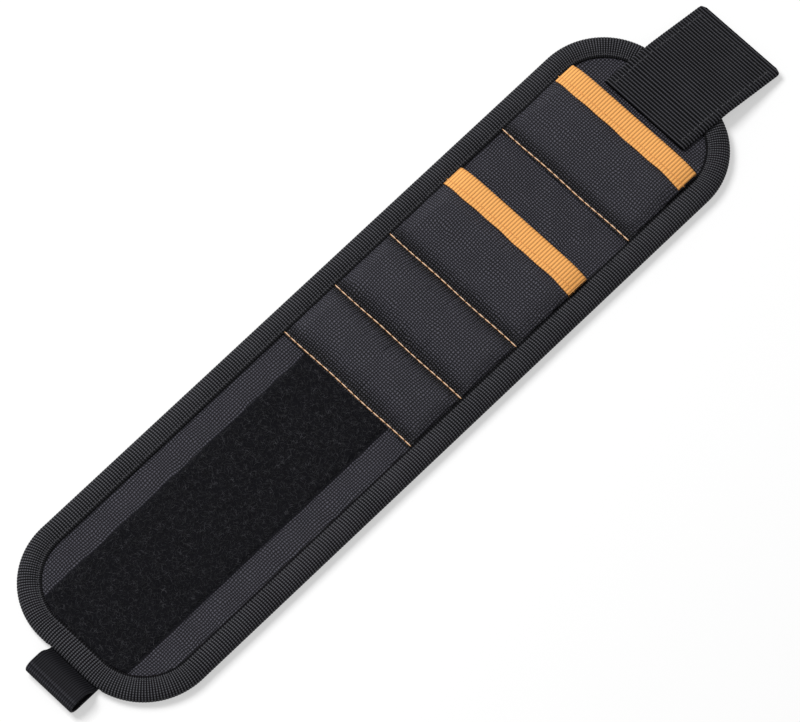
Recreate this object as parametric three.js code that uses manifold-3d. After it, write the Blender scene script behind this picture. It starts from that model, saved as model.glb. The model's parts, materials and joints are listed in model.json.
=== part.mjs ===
// Magnetic wristband: a padded fabric band that curls round the wrist and holds screws, nails and bits
// on magnets sewn under its face. Lengths are millimetres. +X runs along the band towards the closing
// strap, +Z points out of the face, and the origin is the middle of the wrist face.

import * as THREE from "three";
import { mergeVertices } from "three/addons/utils/BufferGeometryUtils.js";
import loadManifold from "manifold-3d";

const wasm = await loadManifold();
wasm.setup();

// Band outline and its stretches, which lie between bending lines
const BAND_WIDTH = 78;
const CORNER_RADIUS = 28;
const TAIL_STRETCH_LENGTH = 45.8;
const CELL_ONE_LENGTH = 24.8;
const CELL_TWO_LENGTH = 27.2;
const POCKET_ONE_LENGTH = 35.5;
const BRIDGE_LENGTH = 20.7;
const POCKET_TWO_LENGTH = 35;
const STRAP_END_LENGTH = 24.4;
const BEND_GAP = 0.3;

// Layers and the clearances between sewn pieces
const PADDING_UNDER_MAGNETS = 1.5;
const FACE_THICKNESS = 0.7;
const LAYER_GAP = 0.05;
const SEAM_CLEARANCE = 0.2;

// Magnets
const MAGNET_DIAMETER = 14;
const MAGNET_THICKNESS = 2;
const MAGNET_SIDE_MARGIN = 7.5;
const MAGNET_CLEARANCE = 0.1;

// Edge binding
const BINDING_FLANGE = 8.5;
const BINDING_THICKNESS = 0.6;
const BINDING_WALL = 1.2;
const BINDING_ROUNDING = 1.8;

// Loop pad
const LOOP_PAD_WIDTH = 40;
const LOOP_PAD_THICKNESS = 1.2;

// Quilted cells
const CELL_CROWN = 2.4;
const COVER_THICKNESS = 0.7;
const WADDING_CLEARANCE = 0.25;

// Pockets and the ribbons folded over their mouths
const POCKET_RISE = 4.9;
const PANEL_THICKNESS = 0.7;
const RIBBON_WIDTH = 9;
const RIBBON_THICKNESS = 0.5;
const RIBBON_CLEARANCE = 0.15;

// Closing strap and its hook pad
const STRAP_WIDTH = 38;
const STRAP_THICKNESS = 1.6;
const STRAP_SEWN_LENGTH = 21;
const STRAP_FREE_LENGTH = 26;
const STRAP_OFFSET = -1.2;
const STRAP_LEAN = THREE.MathUtils.degToRad(3.7);
const STRAP_RAMP_LENGTH = 3;
const STRAP_CORNER_RADIUS = 1.5;
const HOOK_THICKNESS = 1.2;
const HOOK_SIDE_MARGIN = 2;
const HOOK_TIP_MARGIN = 2;
const HOOK_ROOT_MARGIN = 4;
const HOOK_GAP = 0.2;
const FLOOR_CLEARANCE = 0.3;

// Pull loop, a narrow elastic folded to a teardrop
const PULL_WIDTH = 22;
const PULL_THICKNESS = 1;
const PULL_OFFSET = -5;
const PULL_SEWN_LENGTH = 14;
const PULL_EYE_HEIGHT = 4.8;
const PULL_EYE_LENGTH = 9.5;
const PULL_NECK_LENGTH = 1.2;
const PULL_SHOULDER = 4.2;

// Facets
const CORNER_STEPS = 12;
const ROUNDING_STEPS = 3;
const MAGNET_SIDES = 24;
const CELL_STEPS_ALONG = 8;
const CELL_STEPS_ACROSS = 14;
const PANEL_STEPS_ALONG = 8;
const PANEL_STEPS_ACROSS = 16;
const BEND_STEPS = 6;
const MERGE_DISTANCE = 1e-4;
const CUT_MARGIN = 5;

// Levels above the wrist face
const liningTop = PADDING_UNDER_MAGNETS + MAGNET_THICKNESS + MAGNET_CLEARANCE;
const faceBottom = liningTop + LAYER_GAP;
const faceTop = faceBottom + FACE_THICKNESS;
const bindingTop = faceTop + LAYER_GAP + BINDING_THICKNESS;
const strapTop = bindingTop + LAYER_GAP + STRAP_THICKNESS;

// Stretches from the tail to the strap, each with its ends along X
const stretchLengths = {
  tail_end: TAIL_STRETCH_LENGTH,
  tail_middle: TAIL_STRETCH_LENGTH,
  tail_root: TAIL_STRETCH_LENGTH,
  cell_one: CELL_ONE_LENGTH,
  cell_two: CELL_TWO_LENGTH,
  pocket_one: POCKET_ONE_LENGTH,
  bridge: BRIDGE_LENGTH,
  pocket_two: POCKET_TWO_LENGTH,
  strap_end: STRAP_END_LENGTH,
};
const bandLength = Object.values(stretchLengths).reduce((sum, length) => sum + length, 0);
const bandStart = -bandLength / 2;
const bandEnd = bandLength / 2;
const stretches = {};
let reached = bandStart;
for (const [name, length] of Object.entries(stretchLengths)) {
  stretches[name] = { start: reached, end: reached + length, middle: reached + length / 2 };
  reached += length;
}
const END_STRETCHES = ["tail_end", "strap_end"];
const TAIL_STRETCHES = ["tail_end", "tail_middle", "tail_root"];
const MAGNET_STRETCHES = ["cell_one", "cell_two", "pocket_one", "bridge", "pocket_two"];

// Half of the clear width between the binding's two flanges, which narrows where the corners begin
function clearHalfWidthAt(x) {
  const inset = BINDING_FLANGE + SEAM_CLEARANCE;
  const radius = CORNER_RADIUS - inset;
  const pastStraight = Math.max(0, Math.abs(x) - (bandLength / 2 - CORNER_RADIUS));
  const rounding = radius - Math.sqrt(radius ** 2 - pastStraight ** 2);
  return BAND_WIDTH / 2 - inset - rounding;
}

const FINISHES = {
  face_fabric: { color: 0x232328, roughness: 0.82, metalness: 0 },
  lining_mesh: { color: 0x1c1c1f, roughness: 0.9, metalness: 0 },
  binding_tape: { color: 0x1b1b1e, roughness: 0.78, metalness: 0 },
  loop_pile: { color: 0x141417, roughness: 0.95, metalness: 0 },
  orange_ribbon: { color: 0xf2a04e, roughness: 0.6, metalness: 0 },
  strap_webbing: { color: 0x1a1a1d, roughness: 0.75, metalness: 0 },
  hook_tape: { color: 0x161618, roughness: 0.7, metalness: 0 },
  pull_elastic: { color: 0x19191c, roughness: 0.8, metalness: 0 },
  magnet: { color: 0xb9bcc0, roughness: 0.3, metalness: 1 },
  wadding: { color: 0xd8d6d0, roughness: 0.95, metalness: 0 },
};

const wristband = new THREE.Group();
wristband.name = "magnetic_wristband";

function addPiece(name, geometry, finish, parent = wristband) {
  const piece = new THREE.Mesh(geometry, new THREE.MeshStandardMaterial(FINISHES[finish]));
  piece.name = name;
  parent.add(piece);
}

// Solids for joining and cutting

function toSolid(geometry) {
  const bare = geometry.clone();
  bare.deleteAttribute("normal");
  bare.deleteAttribute("uv");
  const merged = mergeVertices(bare, MERGE_DISTANCE);
  const vertProperties = merged.attributes.position.array;
  const triVerts = new Uint32Array(merged.index.array);
  return new wasm.Manifold(new wasm.Mesh({ numProp: 3, vertProperties, triVerts }));
}

function toGeometry(solid) {
  const mesh = solid.getMesh();
  const geometry = new THREE.BufferGeometry();
  geometry.setAttribute("position", new THREE.Float32BufferAttribute(mesh.vertProperties, 3));
  geometry.setIndex(new THREE.BufferAttribute(mesh.triVerts, 1));
  geometry.computeVertexNormals();
  return geometry;
}

function closedGeometry(vertices, triangles) {
  const geometry = new THREE.BufferGeometry();
  geometry.setAttribute("position", new THREE.Float32BufferAttribute(vertices.flat(), 3));
  geometry.setIndex(triangles.flat());
  geometry.computeVertexNormals();
  return geometry;
}

// Basic shapes

function block([x0, x1], [y0, y1], [z0, z1]) {
  const geometry = new THREE.BoxGeometry(x1 - x0, y1 - y0, z1 - z0);
  return geometry.translate((x0 + x1) / 2, (y0 + y1) / 2, (z0 + z1) / 2);
}

function plate(shape, bottom, top) {
  const geometry = new THREE.ExtrudeGeometry(shape, {
    depth: top - bottom,
    bevelEnabled: false,
    curveSegments: BEND_STEPS,
  });
  return geometry.translate(0, 0, bottom);
}

// A side profile, drawn in X and Z, carried across Y
function sideProfile(shape, width, centre = 0) {
  const geometry = plate(shape, -width / 2, width / 2);
  return geometry.rotateX(Math.PI / 2).translate(0, centre, 0);
}

function spread(from, to, steps) {
  return Array.from({ length: steps + 1 }, (_, i) => from + ((to - from) * i) / steps);
}

// The band's rounded outline, drawn in from its edge by inset, anticlockwise
function bandOutline(inset) {
  const centreX = bandLength / 2 - CORNER_RADIUS;
  const centreY = BAND_WIDTH / 2 - CORNER_RADIUS;
  const radius = CORNER_RADIUS - inset;
  const points = [];
  for (const [quarter, signX, signY] of [[0, 1, 1], [1, -1, 1], [2, -1, -1], [3, 1, -1]]) {
    for (const turn of spread(quarter, quarter + 1, CORNER_STEPS)) {
      const angle = (turn * Math.PI) / 2;
      points.push([signX * centreX + radius * Math.cos(angle), signY * centreY + radius * Math.sin(angle)]);
    }
  }
  return points;
}

function bandPlate(inset, bottom, top) {
  const points = bandOutline(inset).map(([x, y]) => new THREE.Vector2(x, y));
  return toSolid(plate(new THREE.Shape(points), bottom, top));
}

// The part of a solid that lies in one stretch of the band, and on one side of it where sides are given
function cutToStretch(solid, { start, end }, sides = [-BAND_WIDTH, BAND_WIDTH]) {
  const from = start === bandStart ? start - CUT_MARGIN : start + BEND_GAP / 2;
  const to = end === bandEnd ? end + CUT_MARGIN : end - BEND_GAP / 2;
  return solid.intersect(toSolid(block([from, to], sides, [-CUT_MARGIN, bindingTop + CUT_MARGIN])));
}

// A closed sheet over a grid of X and Y stations, between a lower and an upper surface
function sheet(xs, ys, bottomAt, topAt) {
  const vertices = [];
  for (const surfaceAt of [bottomAt, topAt]) {
    for (const x of xs) {
      for (const y of ys) {
        vertices.push([x, y, surfaceAt(x, y)]);
      }
    }
  }
  const bottom = (i, j) => i * ys.length + j;
  const top = (i, j) => xs.length * ys.length + bottom(i, j);
  const triangles = [];
  const quad = (a, b, c, d) => triangles.push([a, b, c], [a, c, d]);
  const lastX = xs.length - 1;
  const lastY = ys.length - 1;
  for (let i = 0; i < lastX; i++) {
    for (let j = 0; j < lastY; j++) {
      quad(top(i, j), top(i + 1, j), top(i + 1, j + 1), top(i, j + 1));
      quad(bottom(i, j), bottom(i, j + 1), bottom(i + 1, j + 1), bottom(i + 1, j));
    }
  }
  for (let i = 0; i < lastX; i++) {
    quad(bottom(i, 0), bottom(i + 1, 0), top(i + 1, 0), top(i, 0));
    quad(bottom(i + 1, lastY), bottom(i, lastY), top(i, lastY), top(i + 1, lastY));
  }
  for (let j = 0; j < lastY; j++) {
    quad(bottom(0, j + 1), bottom(0, j), top(0, j), top(0, j + 1));
    quad(bottom(lastX, j), bottom(lastX, j + 1), top(lastX, j + 1), top(lastX, j));
  }
  return closedGeometry(vertices, triangles);
}

// A closed profile of X and Z points, anticlockwise, carried through Y stations and changing on the way
function carriedAcross(profileAt, ys) {
  const rings = ys.map((y) => profileAt(y).map(([x, z]) => [x, y, z]));
  const count = rings[0].length;
  const vertices = rings.flat();
  const triangles = [];
  for (let j = 0; j < ys.length - 1; j++) {
    for (let k = 0; k < count; k++) {
      const here = j * count + k;
      const beside = j * count + ((k + 1) % count);
      triangles.push([here, here + count, beside + count], [here, beside + count, beside]);
    }
  }
  const flatEnd = (ring) => ring.map(([x, , z]) => new THREE.Vector2(x, z));
  for (const [a, b, c] of THREE.ShapeUtils.triangulateShape(flatEnd(rings[0]), [])) {
    triangles.push([a, b, c]);
  }
  const last = (ys.length - 1) * count;
  for (const [a, b, c] of THREE.ShapeUtils.triangulateShape(flatEnd(rings.at(-1)), [])) {
    triangles.push([last + a, last + c, last + b]);
  }
  return closedGeometry(vertices, triangles);
}

// Pull loop's sewn tails, which lie in a notch under the tail end

const tailsThickness = 2 * PULL_THICKNESS;
const tailsBottom = LAYER_GAP;
const tailsTop = tailsBottom + tailsThickness;
const tailsEnd = bandStart + PULL_SEWN_LENGTH;
const pullHalfWidth = PULL_WIDTH / 2;

function pullNotch() {
  const across = [
    PULL_OFFSET - pullHalfWidth - SEAM_CLEARANCE,
    PULL_OFFSET + pullHalfWidth + SEAM_CLEARANCE,
  ];
  const along = [bandStart - CUT_MARGIN, tailsEnd + SEAM_CLEARANCE];
  return toSolid(block(along, across, [-CUT_MARGIN, tailsTop + SEAM_CLEARANCE]));
}

function pullTails() {
  const along = [bandStart, tailsEnd];
  const across = [PULL_OFFSET - pullHalfWidth, PULL_OFFSET + pullHalfWidth];
  return block(along, across, [tailsBottom, tailsTop]);
}

// The teardrop: its lower strand runs out along the floor, its upper strand rises to a round tip
function pullLoop() {
  const root = bandStart - BEND_GAP;
  const innerRadius = PULL_EYE_HEIGHT / 2;
  const outerRadius = innerRadius + PULL_THICKNESS;
  const tipX = root - PULL_NECK_LENGTH - PULL_EYE_LENGTH + innerRadius;
  const tipZ = tailsBottom + outerRadius;
  const shoulderX = root - PULL_SHOULDER;
  const outer = new THREE.Shape();
  outer.moveTo(root, tailsBottom);
  outer.lineTo(root, tailsTop);
  outer.quadraticCurveTo(shoulderX + PULL_THICKNESS, tipZ + outerRadius, shoulderX - PULL_THICKNESS, tipZ + outerRadius);
  outer.lineTo(tipX, tipZ + outerRadius);
  outer.absarc(tipX, tipZ, outerRadius, Math.PI / 2, (3 * Math.PI) / 2, false);
  const neckX = root - PULL_NECK_LENGTH;
  const eye = new THREE.Path();
  eye.moveTo(neckX, tailsBottom + PULL_THICKNESS);
  eye.lineTo(tipX, tipZ - innerRadius);
  eye.absarc(tipX, tipZ, innerRadius, (3 * Math.PI) / 2, Math.PI / 2, true);
  eye.lineTo(shoulderX - PULL_THICKNESS, tipZ + innerRadius);
  eye.quadraticCurveTo(shoulderX, tipZ + innerRadius, neckX, tailsBottom + PULL_THICKNESS);
  outer.holes.push(eye);
  return sideProfile(outer, PULL_WIDTH, PULL_OFFSET);
}

// Lining and padding, with round beds for the magnets

function magnetDisc(x, y, clearance, top) {
  const radius = MAGNET_DIAMETER / 2 + clearance;
  const disc = new THREE.CylinderGeometry(radius, radius, top - PADDING_UNDER_MAGNETS, MAGNET_SIDES);
  return disc.rotateX(Math.PI / 2).translate(x, y, (PADDING_UNDER_MAGNETS + top) / 2);
}

// Two magnets in a stretch, each a margin in from the binding on its side
function magnetPlaces(stretchName) {
  const { middle } = stretches[stretchName];
  const offset = BAND_WIDTH / 2 - BINDING_FLANGE - MAGNET_SIDE_MARGIN - MAGNET_DIAMETER / 2;
  return { front: [middle, -offset], back: [middle, offset] };
}

function liningSolid() {
  const insideBinding = bandPlate(BINDING_WALL + SEAM_CLEARANCE, BINDING_THICKNESS + LAYER_GAP, liningTop);
  const wristFace = bandPlate(BINDING_FLANGE + SEAM_CLEARANCE, 0, liningTop);
  let lining = insideBinding.add(wristFace).subtract(pullNotch());
  for (const stretchName of MAGNET_STRETCHES) {
    for (const [x, y] of Object.values(magnetPlaces(stretchName))) {
      lining = lining.subtract(toSolid(magnetDisc(x, y, MAGNET_CLEARANCE, liningTop + CUT_MARGIN)));
    }
  }
  return lining;
}

// Edge binding: a tape folded round the edge, drawn as inset from the edge and height

function bindingProfile() {
  const corner = (centreZ, fromQuarter) =>
    spread(fromQuarter, fromQuarter + 1, ROUNDING_STEPS).map((quarter) => {
      const angle = (quarter * Math.PI) / 2;
      return [
        BINDING_ROUNDING - BINDING_ROUNDING * Math.sin(angle),
        centreZ - BINDING_ROUNDING * Math.cos(angle),
      ];
    });
  return [
    [BINDING_FLANGE, 0],
    ...corner(BINDING_ROUNDING, 0),
    ...corner(bindingTop - BINDING_ROUNDING, 1),
    [BINDING_FLANGE, bindingTop],
    [BINDING_FLANGE, bindingTop - BINDING_THICKNESS],
    [BINDING_WALL, bindingTop - BINDING_THICKNESS],
    [BINDING_WALL, BINDING_THICKNESS],
    [BINDING_FLANGE, BINDING_THICKNESS],
  ];
}

function bindingSolid() {
  const profile = bindingProfile();
  const rails = profile.map(([inset, z]) => bandOutline(inset).map(([x, y]) => [x, y, z]));
  const around = rails[0].length;
  const triangles = [];
  for (let k = 0; k < rails.length; k++) {
    const next = (k + 1) % rails.length;
    for (let i = 0; i < around; i++) {
      const ahead = (i + 1) % around;
      const [a, b] = [k * around + i, k * around + ahead];
      const [c, d] = [next * around + ahead, next * around + i];
      triangles.push([a, b, c], [a, c, d]);
    }
  }
  return toSolid(closedGeometry(rails.flat(), triangles)).subtract(pullNotch());
}

// Quilted cells: a crowned cover sewn down all round, over wadding

function crown(share) {
  return Math.sqrt(Math.max(0, 1 - (2 * share - 1) ** 2));
}

function addCell(stretchName) {
  const { start, end } = stretches[stretchName];
  const from = start + BEND_GAP / 2;
  const to = end - BEND_GAP / 2;
  const clearHalfWidth = Math.min(clearHalfWidthAt(start), clearHalfWidthAt(end));
  const xs = spread(from, to, CELL_STEPS_ALONG);
  const ys = spread(-clearHalfWidth, clearHalfWidth, CELL_STEPS_ACROSS);
  const coverBottom = (x, y) => {
    const along = crown((x - from) / (to - from));
    const across = crown((y + clearHalfWidth) / (2 * clearHalfWidth));
    return faceTop + LAYER_GAP + CELL_CROWN * along * across;
  };
  const coverTop = (x, y) => coverBottom(x, y) + COVER_THICKNESS;
  addPiece(stretchName + "_cover", sheet(xs, ys, coverBottom, coverTop), "face_fabric");
  const waddingTop = (x, y) => coverBottom(x, y) - WADDING_CLEARANCE;
  const waddingBottom = () => faceTop + LAYER_GAP;
  const inner = (stations) => stations.slice(1, -1);
  addPiece(stretchName + "_wadding", sheet(inner(xs), inner(ys), waddingBottom, waddingTop), "wadding");
}

// Pockets: an arched panel, sewn along one line and both sides, with a ribbon folded over its open edge

function addPocket(stretchName) {
  const { start, end } = stretches[stretchName];
  const from = start + BEND_GAP / 2;
  const mouth = end - BEND_GAP / 2;
  const ribbonStart = mouth - RIBBON_WIDTH;
  const foldDepth = RIBBON_THICKNESS + RIBBON_CLEARANCE;
  const panelEnd = mouth - 2 * foldDepth;
  const clearHalfWidth = Math.min(clearHalfWidthAt(start), clearHalfWidthAt(end));
  const panelBottom = (x, y) => {
    const along = (x - from) / (mouth - from);
    const arch = (1 - (1 - along) ** 2) * (1 - (y / clearHalfWidth) ** 4);
    const ribbonLift = foldDepth * Math.min(1, (x - from) / (ribbonStart - from));
    return faceTop + LAYER_GAP + ribbonLift + POCKET_RISE * arch;
  };
  const panelTop = (x, y) => panelBottom(x, y) + PANEL_THICKNESS;
  const xs = [...spread(from, ribbonStart, PANEL_STEPS_ALONG), panelEnd];
  const ys = spread(-clearHalfWidth, clearHalfWidth, PANEL_STEPS_ACROSS);
  addPiece(stretchName + "_panel", sheet(xs, ys, panelBottom, panelTop), "face_fabric");

  const foldEnd = panelEnd + RIBBON_CLEARANCE;
  const ribbonProfile = (y) => {
    const outerBottom = (x) => panelBottom(x, y) - foldDepth;
    const innerBottom = (x) => panelBottom(x, y) - RIBBON_CLEARANCE;
    const innerTop = (x) => panelTop(x, y) + RIBBON_CLEARANCE;
    const outerTop = (x) => panelTop(x, y) + foldDepth;
    return [
      [ribbonStart, outerBottom(ribbonStart)],
      [foldEnd, outerBottom(foldEnd)],
      [mouth, innerBottom(mouth)],
      [mouth, innerTop(mouth)],
      [foldEnd, outerTop(foldEnd)],
      [ribbonStart, outerTop(ribbonStart)],
      [ribbonStart, innerTop(ribbonStart)],
      [foldEnd, innerTop(foldEnd)],
      [foldEnd, innerBottom(foldEnd)],
      [ribbonStart, innerBottom(ribbonStart)],
    ];
  };
  addPiece(stretchName + "_ribbon", carriedAcross(ribbonProfile, ys), "orange_ribbon");
}

// Closing strap: sewn over the end of the band, with a free tongue that slopes down to the floor.
// Its ends and ribs lie square across the band, and its sides lean to the front

function leaning(geometry) {
  return geometry.applyMatrix4(new THREE.Matrix4().makeShear(-Math.tan(STRAP_LEAN), 0, 0, 0, 0, 0));
}

function strapSewnEnd() {
  const outerStrapEdge = STRAP_WIDTH / 2 + Math.abs(STRAP_OFFSET) + STRAP_SEWN_LENGTH * Math.tan(STRAP_LEAN);
  const innerRadius = CORNER_RADIUS - BINDING_FLANGE;
  const pastStraight = Math.max(0, outerStrapEdge - (BAND_WIDTH / 2 - CORNER_RADIUS));
  const flangeInset = BINDING_FLANGE + innerRadius - Math.sqrt(innerRadius ** 2 - pastStraight ** 2);
  const rampEnd = STRAP_SEWN_LENGTH - flangeInset - SEAM_CLEARANCE;
  const rampStart = rampEnd - STRAP_RAMP_LENGTH;
  const onFace = faceTop + LAYER_GAP;
  const onBinding = bindingTop + LAYER_GAP;
  const side = new THREE.Shape();
  side.moveTo(0, onFace);
  side.lineTo(rampStart, onFace);
  side.lineTo(rampEnd, onBinding);
  side.lineTo(STRAP_SEWN_LENGTH, onBinding);
  side.lineTo(STRAP_SEWN_LENGTH, onBinding + STRAP_THICKNESS);
  side.lineTo(rampEnd, onBinding + STRAP_THICKNESS);
  side.lineTo(rampStart, onFace + STRAP_THICKNESS);
  side.lineTo(0, onFace + STRAP_THICKNESS);
  return leaning(sideProfile(side, STRAP_WIDTH));
}

function strapTongue() {
  const half = STRAP_WIDTH / 2;
  const round = STRAP_CORNER_RADIUS;
  const tip = STRAP_FREE_LENGTH;
  const outline = new THREE.Shape();
  outline.moveTo(BEND_GAP, -half);
  outline.lineTo(tip - round, -half);
  outline.absarc(tip - round, round - half, round, -Math.PI / 2, 0, false);
  outline.absarc(tip - round, half - round, round, 0, Math.PI / 2, false);
  outline.lineTo(BEND_GAP, half);
  return leaning(plate(outline, -STRAP_THICKNESS, 0));
}

function hookPad() {
  const half = STRAP_WIDTH / 2 - HOOK_SIDE_MARGIN;
  const top = -STRAP_THICKNESS - HOOK_GAP;
  const along = [HOOK_ROOT_MARGIN, STRAP_FREE_LENGTH - HOOK_TIP_MARGIN];
  return leaning(block(along, [-half, half], [top - HOOK_THICKNESS, top]));
}

// The slope that brings the hook pad's lower tip just above the floor
function tongueSlope() {
  const reach = STRAP_FREE_LENGTH - HOOK_TIP_MARGIN;
  const depth = STRAP_THICKNESS + HOOK_GAP + HOOK_THICKNESS;
  return Math.asin((strapTop - FLOOR_CLEARANCE) / Math.hypot(reach, depth)) - Math.atan2(depth, reach);
}

function addStrap() {
  const sewn = new THREE.Group();
  sewn.position.set(bandEnd - STRAP_SEWN_LENGTH, STRAP_OFFSET, 0);
  addPiece("strap_sewn_end", strapSewnEnd(), "strap_webbing", sewn);
  const tongue = new THREE.Group();
  tongue.position.set(STRAP_SEWN_LENGTH, -STRAP_SEWN_LENGTH * Math.tan(STRAP_LEAN), strapTop);
  tongue.rotation.y = tongueSlope();
  addPiece("strap_tongue", strapTongue(), "strap_webbing", tongue);
  addPiece("strap_hook_pad", hookPad(), "hook_tape", tongue);
  sewn.add(tongue);
  wristband.add(sewn);
}

// Assembly, stretch by stretch

function addBand() {
  const lining = liningSolid();
  const face = bandPlate(BINDING_WALL + SEAM_CLEARANCE, faceBottom, faceTop);
  const binding = bindingSolid();
  for (const [name, stretch] of Object.entries(stretches)) {
    addPiece(name + "_lining", toGeometry(cutToStretch(lining, stretch)), "lining_mesh");
    addPiece(name + "_face", toGeometry(cutToStretch(face, stretch)), "face_fabric");
    if (END_STRETCHES.includes(name)) {
      addPiece(name + "_binding", toGeometry(cutToStretch(binding, stretch)), "binding_tape");
    } else {
      const front = cutToStretch(binding, stretch, [-BAND_WIDTH, 0]);
      const back = cutToStretch(binding, stretch, [0, BAND_WIDTH]);
      addPiece(name + "_binding_front", toGeometry(front), "binding_tape");
      addPiece(name + "_binding_back", toGeometry(back), "binding_tape");
    }
  }
}

function addMagnets() {
  for (const stretchName of MAGNET_STRETCHES) {
    for (const [side, [x, y]] of Object.entries(magnetPlaces(stretchName))) {
      const top = liningTop - MAGNET_CLEARANCE;
      addPiece(stretchName + "_magnet_" + side, magnetDisc(x, y, 0, top), "magnet");
    }
  }
}

function addLoopPad() {
  const padBottom = faceTop + LAYER_GAP;
  const insideBinding = bandPlate(BINDING_FLANGE + SEAM_CLEARANCE, padBottom, padBottom + LOOP_PAD_THICKNESS);
  for (const name of TAIL_STRETCHES) {
    const pad = cutToStretch(insideBinding, stretches[name], [-LOOP_PAD_WIDTH / 2, LOOP_PAD_WIDTH / 2]);
    addPiece(name + "_loop_pad", toGeometry(pad), "loop_pile");
  }
}

addBand();
addMagnets();
addLoopPad();
addCell("cell_one");
addCell("cell_two");
addPocket("pocket_one");
addPocket("pocket_two");
addStrap();
addPiece("pull_loop_tails", pullTails(), "pull_elastic");
addPiece("pull_loop", pullLoop(), "pull_elastic");

export default wristband;
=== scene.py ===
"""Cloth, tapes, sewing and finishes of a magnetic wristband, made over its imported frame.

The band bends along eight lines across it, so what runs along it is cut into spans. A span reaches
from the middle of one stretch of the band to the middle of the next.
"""

import json
from math import asin, ceil, cos, hypot, pi, radians, sin, tan

import bpy
import numpy as np
from bpy.props import FloatProperty, FloatVectorProperty, IntProperty, PointerProperty
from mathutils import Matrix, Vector

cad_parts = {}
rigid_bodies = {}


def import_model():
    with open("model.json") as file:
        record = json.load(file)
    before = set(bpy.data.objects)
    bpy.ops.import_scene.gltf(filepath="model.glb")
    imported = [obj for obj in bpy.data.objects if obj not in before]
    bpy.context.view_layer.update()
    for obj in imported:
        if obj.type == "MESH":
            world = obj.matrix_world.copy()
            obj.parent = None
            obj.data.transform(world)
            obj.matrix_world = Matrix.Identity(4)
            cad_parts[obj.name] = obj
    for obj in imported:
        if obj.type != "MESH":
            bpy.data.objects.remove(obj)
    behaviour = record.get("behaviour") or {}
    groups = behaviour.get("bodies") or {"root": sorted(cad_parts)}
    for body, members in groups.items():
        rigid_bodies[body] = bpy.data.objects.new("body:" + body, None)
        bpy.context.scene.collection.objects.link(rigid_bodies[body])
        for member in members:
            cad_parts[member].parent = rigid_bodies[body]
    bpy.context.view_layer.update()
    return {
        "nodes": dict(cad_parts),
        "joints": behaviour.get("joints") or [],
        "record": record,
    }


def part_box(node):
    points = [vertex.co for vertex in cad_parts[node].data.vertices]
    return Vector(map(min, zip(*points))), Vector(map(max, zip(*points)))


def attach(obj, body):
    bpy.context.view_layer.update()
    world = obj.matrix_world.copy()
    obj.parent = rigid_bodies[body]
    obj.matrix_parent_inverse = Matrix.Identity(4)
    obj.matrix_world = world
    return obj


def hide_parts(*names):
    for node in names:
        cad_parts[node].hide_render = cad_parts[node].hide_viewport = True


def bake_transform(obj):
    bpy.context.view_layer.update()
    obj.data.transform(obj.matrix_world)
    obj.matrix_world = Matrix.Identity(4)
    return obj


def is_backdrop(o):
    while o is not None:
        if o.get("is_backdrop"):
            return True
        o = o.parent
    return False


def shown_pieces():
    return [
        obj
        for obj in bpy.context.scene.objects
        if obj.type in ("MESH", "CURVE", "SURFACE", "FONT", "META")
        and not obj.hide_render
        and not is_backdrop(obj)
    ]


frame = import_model()

bl_info = {
    "name": "Magnetic wristband",
    "version": (1, 0, 0),
    "blender": (4, 5, 0),
    "location": "View3D > Sidebar > Wristband",
    "description": "Builds the cloth, tapes and sewing of a magnetic wristband",
    "category": "Mesh",
}

MM = 0.001

# Layers that the meshes carry

CLOTH_MAP = "cloth"
OUTWARD = "outward"
# Painted shade that the meshes carry: 1 in a seam's groove, where the seam draws the cloth in and painted
# shade darkens it, and in the painted shadow along the binding's inner edge; less than 0 where the cloth
# catches the light and is painted paler
SHADE = "shade"

# Steps of the meshes

TOUCH = 0.01 * MM
BAND_STEP = 1.5 * MM
BAND_COLUMNS = 61
CLOTH_STEP = 0.8 * MM
CLOTH_COLUMNS = 81
STRAP_COLUMNS = 49
CORNER_STATIONS = 14
STATIONS_PER_RIB = 4
SHARP_ANGLE = radians(55)

# Air pressure that puffs the cells, on cloth enlarged to a size that the simulation takes

PUFF_SCALE = 40
PUFF_PRESSURE = 4.0
PUFF_QUALITY = 8
PUFF_FRAMES = 20

# The band's layout, read from the frame

STRETCHES = (
    "tail_end",
    "tail_middle",
    "tail_root",
    "cell_one",
    "cell_two",
    "pocket_one",
    "bridge",
    "pocket_two",
    "strap_end",
)
TAIL_STRETCHES = STRETCHES[:3]
CELLS = ("cell_one", "cell_two")
POCKETS = ("pocket_one", "pocket_two")
MAGNETS = [name for name in frame["nodes"] if "_magnet_" in name]
SPAN_COUNT = len(STRETCHES) + 1


def joint_named(name):
    """The record's joint of that name."""
    return next(joint for joint in frame["joints"] if joint["name"] == name)


def bending_line(first, second):
    """X of the line along which two neighbouring stretches bend."""
    joint = next(j for j in frame["joints"] if {j["parent"], j["child"]} == {first, second})
    return joint["pos_m"][0]


BAND_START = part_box("tail_end_binding")[0].x
BAND_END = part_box("strap_end_binding")[1].x
HALF_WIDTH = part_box("bridge_binding_back")[1].y
BENDS = [bending_line(*pair) for pair in zip(STRETCHES, STRETCHES[1:])]
STRETCH_ENDS = [BAND_START, *BENDS, BAND_END]
MIDDLES = [(start + end) / 2 for start, end in zip(STRETCH_ENDS, STRETCH_ENDS[1:])]
SPAN_ENDS = [BAND_START, *MIDDLES, BAND_END]
STRETCH_START = dict(zip(STRETCHES, STRETCH_ENDS))
STRETCH_END = dict(zip(STRETCHES, STRETCH_ENDS[1:]))

# Levels above the wrist face, and insets from the band's edge

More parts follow.
